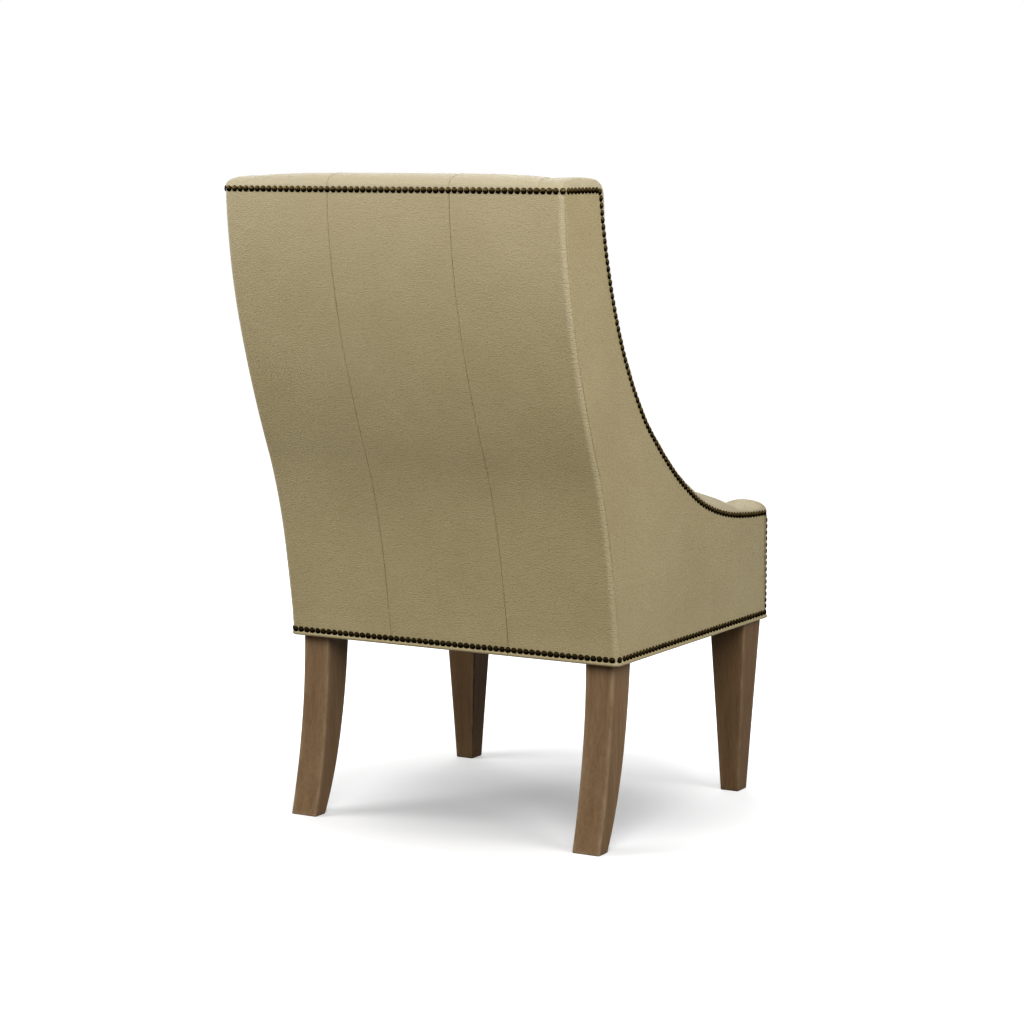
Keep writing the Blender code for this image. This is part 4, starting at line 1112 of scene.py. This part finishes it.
# %% Sew and swell the arm pads
# How pale the painted highlight from light above is on the crest, the wing, the arm and the arm's front.
CREST_HIGHLIGHT = 0.48
WING_HIGHLIGHT = 0.43
ARM_HIGHLIGHT = 0.38
ARM_FRONT_HIGHLIGHT = 0.08
BEHIND_BACK = 0.014
UNDER_SEAT = 0.512
NAILED_STRIP = 0.012
FRONT_FIRM = 0.6


def arm_holds(grid):
    """1 where the pad is nailed or tucked away, 0 where it is free."""
    held = np.zeros(grid.shape[:2])
    held[:, :3] = 1
    held[:2] = 1
    held[-3:] = 1
    inner = np.zeros(held.shape, bool)
    inner[:, PAD_STEPS + 2 :] = True
    behind_back = grid[..., 1] > inside_y(grid[..., 2]) - BEHIND_BACK
    under_seat = grid[..., 2] < UNDER_SEAT
    held[inner & (behind_back | under_seat)] = 1
    on_front = grid[..., 1] < EDGE_FRONT
    low_front = on_front & (grid[..., 2] < SEAT_SEAM)
    held[low_front] = np.maximum(held[low_front], FRONT_FIRM)
    nailed = on_front & (np.abs(grid[..., 0]) > HALF - NAILED_STRIP)
    held[nailed] = 1
    return held


def arm_highlight(columns):
    """Painted highlight where light from above falls: palest on the wing, less along the arm, hardly on its
    front, and fading inwards.
    """
    path = Line(stations[:, :2])
    front_height = stations[-30, 1] - BOTTOM
    along = []
    for mark in path.marks:
        pale = ARM_HIGHLIGHT + (WING_HIGHLIGHT - ARM_HIGHLIGHT) * (1 - float(ease(0.08, 0.40, mark)))
        before_front = path.length - mark - front_height
        along.append(ARM_FRONT_HIGHLIGHT + (pale - ARM_FRONT_HIGHLIGHT) * float(ease(-0.03, 0.02, before_front)))
    over = [1 - float(ease(0.55, 0.95, column / (PAD_STEPS + 2))) for column in range(columns)]
    return np.outer(along, over).ravel()


for word, side in SIDES:
    grid = pad_grid(side)
    held = arm_holds(grid)
    name = "arm_pad_" + word
    pad = smooth_piece(name, grid, (-side, -0.4, 0.8), held, pressure=2.6, most=0.003, slack=0.012)
    # Painted highlight on the top of the pad, where light from above falls.
    paint(pad, "stretched", arm_highlight(grid.shape[1]))
    belongs(pad, "leather", "inside_arm_" + word, "arm_foam_" + word)

# %% [markdown]
# ## Inside back
#
# Three channels run down the inside back, over the crest and to the top nails.
# Each is narrow at its seams and full between them. The profile is a list of
# places with a direction outwards, and each channel adds its own crown to it.

# %% Draw the profile of the inside back
CHANNEL_CROWN = 0.006
CHANNEL_SINK = 0.0012
EDGE_FALL = 0.0055
EDGE_ROLL = 0.0034
CREST_ROWS = 32
SEAT_HALF = 0.22985
SEAT_CROWN = 0.018


def back_profile():
    """Rows of y, z, outward y, outward z, how full the channels are, and how far their ends fall."""
    rows = [(REAR, NAIL_TOP + 0.0002, 1.0, 0.0, 0.0, 0.0)]
    half = BACK_DEPTH_TOP / 2
    stand = NAIL_TOP + STAND
    for turn in np.linspace(0, math.pi, 31):
        up = math.sin(turn)
        y = REAR - half + half * math.cos(turn)
        z = stand + (CREST - stand) * up if turn <= math.pi / 2 else CREST - CREST_FRONT_DROP * (1 - up)
        full = 0.0 if turn <= math.pi / 2 else 1 - up
        rows.append((y, z, math.cos(turn), up, full, up if turn <= math.pi / 2 else 1.0))
    joint = CREST - CREST_FRONT_DROP
    for z in np.linspace(joint, 0.44, 74)[1:]:
        full = ease(SEAT_SIDE + SEAT_CROWN, SEAT_SIDE + 0.1, z)
        rows.append((inside_y(z), z, -1.0, 0.0, full, ease(joint - 0.2, joint, z)))
    return rows


def channel_crown(x):
    if abs(x) <= BACK_SEAM:
        share = abs(x) / BACK_SEAM
    else:
        middle = (BACK_SEAM + SEAT_HALF) / 2
        share = abs(abs(x) - middle) / (SEAT_HALF - middle)
    return CHANNEL_CROWN * (1 - min(share, 1.0) ** 2.5)


# %% Sew and swell the channels
CREST_FIRM = 0.8
FIRM_ROWS = (17, 34)
HIGHLIGHT_ROWS = (20, 36)
SEAM_BEAD = 0.0006
BEAD_PLACE = 0.0012


def channel(word, low, high, nodes):
    xs = seam_to_seam(low, high, near=0.0006, coarse=0.009)
    profile = back_profile()
    seam_line = Line([(row[0], row[1]) for row in profile])
    grid = []
    held = []
    for r, (y, z, out_y, out_z, full, falls) in enumerate(profile):
        row = []
        wide = CREST_SPREAD * (1.0 if r < CREST_ROWS else float(ease(0.93, 1.015, z)))
        tight = full if r < CREST_ROWS else 1.0
        for x in xs:
            seam = min(x - low, high - x)
            past_seam = max((abs(x) - BACK_SEAM) / (SEAT_HALF - BACK_SEAM), 0.0)
            moved = x + math.copysign(wide * past_seam, x)
            end = (abs(moved) / (SEAT_HALF + wide)) ** 5
            rise = (channel_crown(x) - CHANNEL_SINK) * full - falls * EDGE_FALL * end
            rise -= roll(seam, EDGE_ROLL if past_seam > 0.5 else 0.0005 + 0.0025 * tight)
            bead = math.exp(-(((seam - BEAD_PLACE) / BEAD_PLACE) ** 2))
            rise += SEAM_BEAD * (1 - tight) * min(r / 4, 1.0) * bead
            rise += (0.4 + 1.2 * tight) * pucker(seam, seam_line.marks[r])
            row.append((moved, y + out_y * rise, z + out_z * rise))
        grid.append(row)
        tucked = r < 2 or z < 0.5
        firm = CREST_FIRM * (1 - float(ease(*FIRM_ROWS, r)))
        held.append([1.0 if tucked or min(x - low, high - x) < 0.0015 else firm for x in xs])
    name = "inside_back_channel_" + word
    how = {"pressure": 1.2, "most": 0.0024, "slack": 0.004, "bending": 16.0}
    piece = smooth_piece(name, grid, (0, -1, 0.3), held, **how)
    # Painted highlight on the crest, fading out down the inside back.
    pale = [CREST_HIGHLIGHT * (1 - float(ease(*HIGHLIGHT_ROWS, r))) for r in range(len(profile))]
    paint(piece, "stretched", np.repeat(pale, len(xs)))
    belongs(piece, "leather", *nodes)


channel("centre", -BACK_SEAM + 0.0001, BACK_SEAM - 0.0001, ["inside_back_centre", "back_foam"])
channel("left", BACK_SEAM + 0.0001, SEAT_HALF, ["inside_back_left"])
channel("right", -SEAT_HALF, -BACK_SEAM - 0.0001, ["inside_back_right"])

# %% [markdown]
# ## Seat
#
# The seat is tight: its hide is sewn to the front band, rolls over the front
# edge and dips into the crease beside each arm and below the back. Its crown is
# highest in the middle. A plain front band closes the body below the seam.

# %% Shape the seat
SEAT_ROLL = 0.030


def seat_height(x, share):
    across = (1 - min((x / SEAT_HALF) ** 2, 1.0)) ** 0.6
    return SEAT_SIDE + SEAT_CROWN * across * (1 - 0.35 * (2 * share - 0.9) ** 2) - 0.001


def seat_grid():
    xs = seam_to_seam(-SEAT_HALF, SEAT_HALF, near=0.0006, coarse=0.013, growth=1.5)
    xs = [(x, 0.0) for x in xs]
    skirt = [0.022, 0.012, 0.005, 0.002]
    xs = [(-SEAT_HALF, drop) for drop in skirt] + xs + [(SEAT_HALF, drop) for drop in skirt[::-1]]
    grid = []
    for drop in (0.0, 0.0015, 0.0035):
        grid.append([(x, FRONT + float(roll(drop, 0.0025)), SEAT_SEAM + drop + 0.0002) for x, _ in xs])
    for turn in np.linspace(0, math.pi / 2, 13)[1:]:
        row = []
        for x, down in xs:
            height = seat_height(x, 0.0) - SEAT_SEAM
            y = FRONT + SEAT_ROLL * (1 - math.cos(turn))
            row.append((x, y, SEAT_SEAM + 0.003 + (height - 0.003 - down) * math.sin(turn)))
        grid.append(row)
    for share in np.linspace(0, 1, 42)[1:]:
        row = []
        for x, down in xs:
            z = seat_height(x, share) - 0.006 * max(share - 0.9, 0) / 0.1
            front = FRONT + SEAT_ROLL
            row.append((x, front + (float(inside_y(z)) - 0.0012 - front) * share, z - down))
        grid.append(row)
    for down in (0.006, 0.02):
        grid.append([(x, y, z - down) for x, y, z in grid[-1]])
    return np.array(grid)


grid = seat_grid()
held = np.zeros(grid.shape[:2])
held[:2] = 1
held[-3:] = 1
held[:, :5] = 1
held[:, -5:] = 1
how = {"pressure": 2.2, "most": 0.005, "slack": 0.02}
seat = smooth_piece("seat_cushion", grid, (0, -0.2, 1), held, **how)
belongs(seat, "leather", "seat_cover", "seat_foam")

# %% Cut the front band
BAND_CROWN = 0.0016
BAND_HALF = PAD_INNER - 0.0004


def front_band():
    xs = seam_to_seam(-BAND_HALF, BAND_HALF)
    top = SEAT_SEAM - 0.0003
    rows = lip_rows() + [(0.0, z) for z in np.linspace(PANEL_START, top - 0.004, 44)]
    rows += [(0.0, top - d) for d in (0.0025, 0.0015, 0.0008, 0.0003, 0.0)]
    grid = []
    for out, z in rows:
        row = []
        for x in xs:
            side_gap = BAND_HALF - abs(x)
            rise = out + flare(z) - roll(side_gap, 0.003) - roll(top - z) + pucker(top - z, x)
            calm = calmed(z - LIP_START)
            height = min(max((z - BOTTOM) / (top - BOTTOM), 0.0), 1.0)
            full = BAND_CROWN * (1 - (x / PAD_INNER) ** 4) * math.sin(math.pi * height)
            rise += calm * (full + waver((x, FRONT, z), 0.12, 0.0006, 5.5))
            row.append((x, FRONT - rise, z))
        grid.append(row)
    piece = cover("front_band_cover", grid, (0, -1, 0))
    return belongs(piece, "leather", "front_band")


front_band()

# %% [markdown]
# ## Stitches
#
# Every seam shows its thread as a row of short stitches sunk in the groove. One
# stitch is a small rounded bar. A seam is a line with a direction outwards at
# each place, so one function can lay stitches along all of them.

# %% Lay stitches along a seam
STITCH = 0.0046
STITCH_GAP = 0.0013
THREAD_RADIUS = 0.0004
STITCH_DEPTH = 0.0010
STITCH_RING = 6


def stitches(name, line, outs):
    """Stitches along a line of points, sunk below the surface, with an outward direction for each."""
    line = Line(line)
    outs = np.array(outs, float)
    points = []
    faces = []
    count = int(line.length / STITCH)
    half = (STITCH - STITCH_GAP) / 2
    profile = [(-1.0, 0.25), (-0.85, 0.8), (0.0, 1.0), (0.85, 0.8), (1.0, 0.25)]
    for k in range(count):
        middle = (k + 0.5) * line.length / count
        here = line.at(middle)
        along = line.heading(middle)
        out = np.array([np.interp(middle, line.marks, column) for column in outs.T])
        out -= along * out.dot(along)
        out /= np.linalg.norm(out)
        across = np.cross(along, out)
        base = len(points)
        for reach, width in profile:
            centre = here + along * reach * half - out * (STITCH_DEPTH + 0.0005 * reach**4)
            for turn in np.linspace(0, 2 * np.pi, STITCH_RING, endpoint=False):
                ring_way = across * math.cos(turn) + out * math.sin(turn)
                points.append(centre + THREAD_RADIUS * width * ring_way)
        for ring in range(len(profile) - 1):
            for i in range(STITCH_RING):
                j = (i + 1) % STITCH_RING
                low = base + ring * STITCH_RING
                faces.append((low + i, low + j, low + STITCH_RING + j, low + STITCH_RING + i))
        faces.append([base + i for i in reversed(range(STITCH_RING))])
        last = base + (len(profile) - 1) * STITCH_RING
        faces.append([last + i for i in range(STITCH_RING)])
    piece = mesh_piece(name, points, faces, thread)
    belongs(piece, "leather")
    return count


# %% Sew every seam
heights = np.linspace(BOTTOM + 0.006, NAIL_TOP - 0.006, 160)
profile = back_profile()
total = 0
for word, side in SIDES:
    seam = [(side * BACK_SEAM, back_y(z), z) for z in heights]
    total += stitches("outside_back_seam_" + word, seam, [(0, 1, 0)] * len(seam))
    seam = [(side * HALF, back_y(z) - SIDE_SEAM, z) for z in heights]
    total += stitches("rear_corner_seam_" + word, seam, [(side, 0, 0)] * len(seam))
    rows = [row for row in profile[2:] if row[1] > 0.49]
    seam = [(side * BACK_SEAM, row[0], row[1]) for row in rows]
    total += stitches("inside_back_seam_" + word, seam, [(0, row[2], row[3]) for row in rows])
seam = [(x, FRONT + 0.0004, SEAT_SEAM) for x in np.linspace(-PAD_INNER + 0.004, PAD_INNER - 0.004, 60)]
total += stitches("seat_front_seam", seam, [(0, -1, 0)] * len(seam))
print("stitches:", total)

# %% [markdown]
# ## Nail heads
# Several hundred domed heads, almost touching, edge the covers. They are
# hammered in by hand, so each leans and sits a little differently. A head is a
# turned profile of a few rings, copied to every place of a run. The row below
# the back has heads a touch wider than the rest; it and the other bottom rows
# are painted darker, as painted shade.

# %% Turn one nail head
HEAD = 0.0104
WIDE_HEAD = 0.0109
HEAD_RISE = 0.0024
PITCH = 0.01095
HEAD_SIDES = 14
HEAD_PROFILE = [(0.0, 1.0), (0.30, 0.954), (0.56, 0.828), (0.78, 0.626)]
HEAD_PROFILE += [(0.92, 0.392), (0.985, 0.17), (1.0, 0.0)]
HAND_LEAN = 0.035
RUB_HIGHLIGHT_REACH = 0.9
hand = np.random.default_rng(11)


def nail_heads(name, places, node, row_light=1.0, wide=HEAD):
    """Heads at (point, outward direction), joined in one piece that stands for a node."""
    points = []
    faces = []
    rubs = []
    for point, out in places:
        out = Vector(out).normalized()
        lean = Vector(hand.normal(0, HAND_LEAN, 3))
        axis = (out + lean).normalized()
        turn = axis.to_track_quat("Z", "Y").to_matrix()
        size = wide / 2 * hand.uniform(0.97, 1.0)
        rise = HEAD_RISE * hand.uniform(0.94, 1.0)
        bright = row_light * hand.uniform(0.6, 1.0)
        base = len(points)
        for r, h in HEAD_PROFILE:
            for i in range(1 if r == 0 else HEAD_SIDES):
                angle = 2 * math.pi * i / HEAD_SIDES
                local = Vector((r * size * math.cos(angle), r * size * math.sin(angle), h * rise))
                place = turn @ local
                points.append(Vector(point) + place)
                # Painted highlight on the upper side of each head, partly also rubbed wear, and painted
                # shade at its rim and on the low rows.
                upper = place.z / size + 0.35 * h
                rubs.append(bright * float(ease(0.0, RUB_HIGHLIGHT_REACH, upper)) * (0.2 + 0.8 * h))
        for i in range(HEAD_SIDES):
            faces.append((base, base + 1 + i, base + 1 + (i + 1) % HEAD_SIDES))
        for ring in range(len(HEAD_PROFILE) - 2):
            low = base + 1 + ring * HEAD_SIDES
            for i in range(HEAD_SIDES):
                j = (i + 1) % HEAD_SIDES
                faces.append((low + i, low + HEAD_SIDES + i, low + HEAD_SIDES + j, low + j))
        rim = base + 1 + (len(HEAD_PROFILE) - 2) * HEAD_SIDES
        faces.append([rim + i for i in reversed(range(HEAD_SIDES))])
    piece = mesh_piece(name, points, faces, bronze)
    paint(piece, "rubbed", rubs)
    belongs(piece, "bronze", node)
    return len(places)


# %% Nail the back
SEATING = 0.0002


def across_the_back(z, turn):
    """A row over the back that ends the given angle round each corner."""
    straight = HALF - CORNER
    corner = math.radians(turn) * CORNER
    stand = SEATING + (flare(z) if z < NAIL_TOP else 0.0)
    count = max(round(2 * (straight + corner) / PITCH), 1)
    reach = (straight + corner) * (1 + 1 / count)
    lean = (back_y(z + 0.004) - back_y(z - 0.004)) / 0.008 if z < NAIL_TOP else 0.0
    places = []
    for k in range(count + 1):
        run = reach * ((2 * k + 1) / (count + 1) - 1)
        turned = max(abs(run) - straight, 0.0) / CORNER
        side = math.copysign(1.0, run)
        sideways, backwards = math.sin(turned), math.cos(turned)
        x = side * (min(abs(run), straight) + (CORNER + stand) * sideways)
        y = back_y(z) - CORNER + (CORNER + stand) * backwards
        places.append(((x, y, z), (side * sideways, backwards, -lean * backwards)))
    return places


top_row = across_the_back(NAIL_TOP, 62)
bottom_row = across_the_back(NAIL_BOTTOM, 80)
nails = nail_heads("nail_heads_back_top", top_row, "nails_back_top")
# The row below the back is painted darker, as painted shade.
nails += nail_heads("nail_heads_back_bottom", bottom_row, "nails_back_bottom", 0.3, WIDE_HEAD)
print("nails so far:", nails)

# %% Nail the sides and the front
SCOOP_FROM = 0.014
BOTTOM_FROM = 0.017
ARM_NAIL_TOP = 0.472
FACING = math.radians(64)


def along_line(points, out):
    line = Line(points)
    count = max(round(line.length / PITCH), 1)
    seat_out = np.array(out) * SEATING
    return [(line.at((k + 0.5) * line.length / count) + seat_out, out) for k in range(count)]


path = [(REAR - SCOOP_FROM, NAIL_TOP)]
path += [tuple(row[:2]) for row in stations[8:] if row[1] > ARM_NAIL_TOP + 0.0005]
path = [place for place in path if place[0] > EDGE_FRONT + 0.0003]
low = HALF + flare(NAIL_BOTTOM)
column_x = HALF - FRONT_BULGE + FRONT_BULGE * math.sin(FACING)
column_y = EDGE_FRONT - FRONT_BULGE * math.cos(FACING)
for word, side in SIDES:
    out = (side, 0.0, 0.0)
    run = [(side * HALF, y, z) for y, z in path]
    nails += nail_heads("nail_heads_scoop_" + word, along_line(run, out), "nails_scoop_" + word)
    ends = (back_y(NAIL_BOTTOM) - BOTTOM_FROM, EDGE_FRONT)
    run = [(side * low, y, NAIL_BOTTOM) for y in ends]
    # The bottom rows are painted darker, as painted shade.
    nails += nail_heads("nail_heads_bottom_" + word, along_line(run, out), "nails_bottom_" + word, 0.5)
    out = (side * math.sin(FACING), -math.cos(FACING), 0.0)
    run = [(side * column_x, column_y, z) for z in (ARM_NAIL_TOP, NAIL_BOTTOM - PITCH / 2)]
    nails += nail_heads("nail_heads_front_" + word, along_line(run, out), "nails_front_" + word)
edge = column_x - PITCH / 2
run = [(x, FRONT - flare(NAIL_BOTTOM), NAIL_BOTTOM) for x in (-edge, edge)]
# The front bottom row is painted darker, as painted shade.
nails += nail_heads("nail_heads_front_bottom", along_line(run, (0.0, -1.0, 0.0)), "nails_front_bottom", 0.5)
print("nails:", nails)

# %% [markdown]
# ## Legs
#
# Front legs taper on all four sides. Rear legs are sawn to a curve that sweeps
# back to the floor. Both are lofts of a square with softened corners. Each point
# also stores how near an arris it is, and the wood recipe rubs the stain there.

# %% Section of a leg
ARRIS = 0.0019
FACE_WEAR = ((0.07, 0.45), (0.16, 0.1), (0.5, 0.0), (0.84, 0.1), (0.93, 0.45))
SOLE_WEAR = 0.006


def leg_section(half_x, half_y):
    """Points round a softened rectangle, each with its wear."""
    section = []
    for k, (sx, sy) in enumerate(((1, 1), (-1, 1), (-1, -1), (1, -1))):
        start = math.pi / 2 * k
        for turn in np.linspace(start, start + math.pi / 2, 4):
            x = sx * (half_x - ARRIS) + ARRIS * math.cos(turn)
            y = sy * (half_y - ARRIS) + ARRIS * math.sin(turn)
            section.append((x, y, 1.0))
        next_x, next_y = ((-1, 1), (-1, -1), (1, -1), (1, 1))[k]
        reach_x = half_x - (0.0 if sx == next_x else ARRIS)
        reach_y = half_y - (0.0 if sy == next_y else ARRIS)
        for share, wear in FACE_WEAR:
            x = (sx + (next_x - sx) * share) * reach_x
            y = (sy + (next_y - sy) * share) * reach_y
            section.append((x, y, wear))
    return section


def leg(name, node, x, rows, wood):
    """A leg through (height, front y, rear y, half width) rows."""
    points = []
    wears = []
    faces = []
    for z, front, rear, half in rows:
        middle = (front + rear) / 2
        for px, py, wear in leg_section(half, (rear - front) / 2):
            points.append((x + px, middle + py, z))
            wears.append(max(wear, 1 - z / SOLE_WEAR))
    count = len(points) // len(rows)
    for r in range(len(rows) - 1):
        for i in range(count):
            j = (i + 1) % count
            faces.append((r * count + i, r * count + j, (r + 1) * count + j, (r + 1) * count + i))
    faces.append(list(reversed(range(count))))
    faces.append([len(points) - count + i for i in range(count)])
    piece = mesh_piece(name, points, faces, wood)
    paint(piece, "wear", wears)
    piece.data.set_sharp_from_angle(angle=math.radians(50))
    return belongs(piece, "leg_wood", node)


# %% Shape the four legs
LEG_TOP = 0.2991
FOOT_ROUND = 0.0012
FRONT_LEG_X = 0.2660
FRONT_LEG_Y = FRONT + 0.0415
FRONT_LEG_FOOT = 0.0337
FRONT_LEG_HEAD = 0.0655
REAR_LEG_X = 0.2660
REAR_LEG_HALF = 0.0243
REAR_LEG_IN = 0.0131
REAR_LEG_DEPTH = 0.059
SWEEP = 0.0431
REAR_FOOT_DEPTH = 0.0272


def front_leg_rows():
    rows = []
    for z in [0.0, FOOT_ROUND, *np.linspace(0.01, LEG_TOP, 26)]:
        half = (FRONT_LEG_FOOT + (FRONT_LEG_HEAD - FRONT_LEG_FOOT) * z / LEG_TOP) / 2
        if z == 0:
            half -= FOOT_ROUND
        rows.append((z, FRONT_LEG_Y - half, FRONT_LEG_Y + half, half))
    return rows


def rear_leg_rows():
    rear_top = back_y(BOTTOM) - REAR_LEG_IN
    front_top = rear_top - REAR_LEG_DEPTH
    heel = rear_top + SWEEP
    rear = ((heel, 0.0), (rear_top, 0.1485), (rear_top, LEG_TOP))
    front = ((heel - REAR_FOOT_DEPTH, 0.0), (front_top + 0.0146, 0.110), (front_top, LEG_TOP))
    rear = quadratic(*np.array(rear), 60)
    front = quadratic(*np.array(front), 60)
    rows = []
    for z in [0.0, FOOT_ROUND, *np.linspace(0.008, LEG_TOP, 38)]:
        trim = FOOT_ROUND if z == 0 else 0.0
        y0 = np.interp(z, front[:, 1], front[:, 0]) + trim - 0.0009
        y1 = np.interp(z, rear[:, 1], rear[:, 0]) - trim + 0.0007
        rows.append((z, y0, y1, REAR_LEG_HALF - trim))
    return rows


for word, side in SIDES:
    x = side * FRONT_LEG_X
    leg("front_tapered_leg_" + word, "front_leg_" + word, x, front_leg_rows(), shaded_front_leg_timber)
    x = side * REAR_LEG_X
    leg("rear_swept_leg_" + word, "rear_leg_" + word, x, rear_leg_rows(), rear_leg_timber)
print("legs:", LEG_TOP, "m high")

# %% [markdown]
# ## Under the seat
#
# Black cloth is stapled under the frame to keep dust out. It is cut round the
# four legs and hangs a hair between the rails. The staples are small bent
# wires. Above it, out of sight, a deck cloth lies on the springs and jute straps
# cross the back.

# %% Staple the bottoming cloth
CLOTH_TOP = 0.2989
CLOTH_HALF = 0.2957
CLOTH_SAG = 0.0022
CLEAR = 0.002
BOARD_DEPTH = 0.0056
NOTCH_HALF = 0.0328


def bottoming_cloth():
    edge_x = CLOTH_HALF
    front = EDGE_FRONT + CLEAR
    rear = back_y(BOTTOM) - BOARD_DEPTH - CLEAR
    front_x = FRONT_LEG_X - NOTCH_HALF - CLEAR
    front_y = FRONT_LEG_Y + NOTCH_HALF + CLEAR
    rear_x = REAR_LEG_X - REAR_LEG_HALF - CLEAR
    rear_y = back_y(BOTTOM) - REAR_LEG_IN - REAR_LEG_DEPTH - 0.0009 - CLEAR
    notch_xs = [-front_x, front_x, -rear_x, rear_x]
    xs = np.unique(np.concatenate([np.linspace(-edge_x, edge_x, 25), notch_xs]))
    ys = np.unique(np.concatenate([np.linspace(front, rear, 23), [front_y, rear_y]]))
    points = []
    index = {}
    faces = []

    def point(i, j):
        if (i, j) not in index:
            x, y = xs[i], ys[j]
            along = math.sin(math.pi * (y - front) / (rear - front))
            sag = CLOTH_SAG * (1 - (x / edge_x) ** 2) * along
            index[i, j] = len(points)
            points.append((x, y, CLOTH_TOP - sag))
        return index[i, j]

    for i in range(len(xs) - 1):
        for j in range(len(ys) - 1):
            x = abs(xs[i] + xs[i + 1]) / 2
            y = (ys[j] + ys[j + 1]) / 2
            if (x > front_x and y < front_y) or (x > rear_x and y > rear_y):
                continue
            faces.append((point(i, j), point(i + 1, j), point(i + 1, j + 1), point(i, j + 1)))
    piece = mesh_piece("bottoming_cloth", points, faces, bottoming, (0, 0, -1))
    thicken(piece, 0.0006)
    belongs(piece, "cloth", "dust_cover")
    return front, rear, front_x, rear_x, front_y, rear_y, edge_x


cloth_edges = bottoming_cloth()
STAPLE_PITCH = 0.042
STAPLE_INSET = 0.008
STAPLE_HALF = (0.0052, 0.0006)
BOX_FACES = ((3, 2, 1, 0), (4, 5, 6, 7), (0, 1, 5, 4), (1, 2, 6, 5), (2, 3, 7, 6), (3, 0, 4, 7))


def staple_run(low, high):
    return np.arange(low + 0.02, high - 0.01, STAPLE_PITCH)


def staples(edges):
    front, rear, front_x, rear_x, front_y, rear_y, edge_x = edges
    places = [((x, front + STAPLE_INSET), STAPLE_HALF) for x in staple_run(-front_x, front_x)]
    places += [((x, rear - STAPLE_INSET), STAPLE_HALF) for x in staple_run(-rear_x, rear_x)]
    for side in (-1, 1):
        x = side * (edge_x - STAPLE_INSET)
        places += [((x, y), STAPLE_HALF[::-1]) for y in staple_run(front_y, rear_y)]
    points = []
    faces = []
    for (x, y), (long, wide) in places:
        base = len(points)
        for dz in (0.0003, -0.0007):
            for sx, sy in ((-1, -1), (1, -1), (1, 1), (-1, 1)):
                points.append((x + sx * long, y + sy * wide, CLOTH_TOP - 0.0009 + dz))
        faces += [tuple(base + i for i in face) for face in BOX_FACES]
    piece = mesh_piece("bottoming_staples", points, faces, steel)
    soften = piece.modifiers.new("bent_wire", "BEVEL")
    soften.width = 0.0004
    soften.segments = 2
    belongs(piece, "steel")
    return len(places)


print("staples:", staples(cloth_edges))

# %% Lay the deck cloth and the back straps
RAIL_TOP = 0.3944
RAIL_INSET = 0.011
SPRING_ARCH = 0.015
SPRING_WIRE = 0.0034
DECK_HALF = 0.2293


def spring_top(y):
    """Just above the springs, which arch from rail to rail."""
    low = EDGE_FRONT + RAIL_INSET
    high = float(back_y(RAIL_TOP)) - BOARD_DEPTH - RAIL_INSET
    share = (2 * y - low - high) / (high - low)
    return RAIL_TOP + 0.0003 + SPRING_ARCH * max(1 - share * share, 0.0) + SPRING_WIRE + 0.0006


def deck_cloth():
    ys = np.linspace(EDGE_FRONT + 0.001, float(back_y(RAIL_TOP)) - 0.007, 30)
    xs = np.linspace(-DECK_HALF, DECK_HALF, 15)
    grid = [[(x, y, spring_top(y) + 0.0018) for x in xs] for y in ys]
    piece = cover("seat_deck_cloth", grid, (0, 0, 1), jute, 0.0014)
    belongs(piece, "webbing", "seat_deck")


def back_strap(number):
    low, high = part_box(f"back_webbing_{number}")
    grid = []
    for z in np.linspace(low[2] + 0.0005, high[2] - 0.0005, 9):
        y = float(back_y(z)) - 0.0456 - 0.0003
        grid.append([(x, y, z) for x in np.linspace(-0.297, 0.297, 22)])
    piece = cover(f"back_strap_{number}", grid, (0, -1, 0), jute, 0.0011)
    belongs(piece, "webbing", f"back_webbing_{number}")


deck_cloth()
for number in (1, 2, 3):
    back_strap(number)

# %% [markdown]
# ## Hidden wood, board and steel
#
# The rest of the model keeps its own shape. Each piece only swaps its plain
# material for a finish, with the grain of a rail along its length.

# %% Finish the pieces that stay
GRAIN = {
    "front_rail": 0,
    "rear_rail": 0,
    "crest_rail": 0,
    "lower_back_rail": 0,
    "corner_block": 0,
    "side_rail": 1,
    "scoop_rail": 1,
    "back_post": 2,
}


def finish_for(name):
    for start, axis in GRAIN.items():
        if name.startswith(start):
            return bare_timber[axis]
    if "board" in name:
        return board
    return steel


kept = 0
for name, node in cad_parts.items():
    if node.hide_render:
        continue
    for held_slot in node.material_slots:
        held_slot.material = finish_for(name)
    kept += 1
print("pieces that keep their shape:", kept)
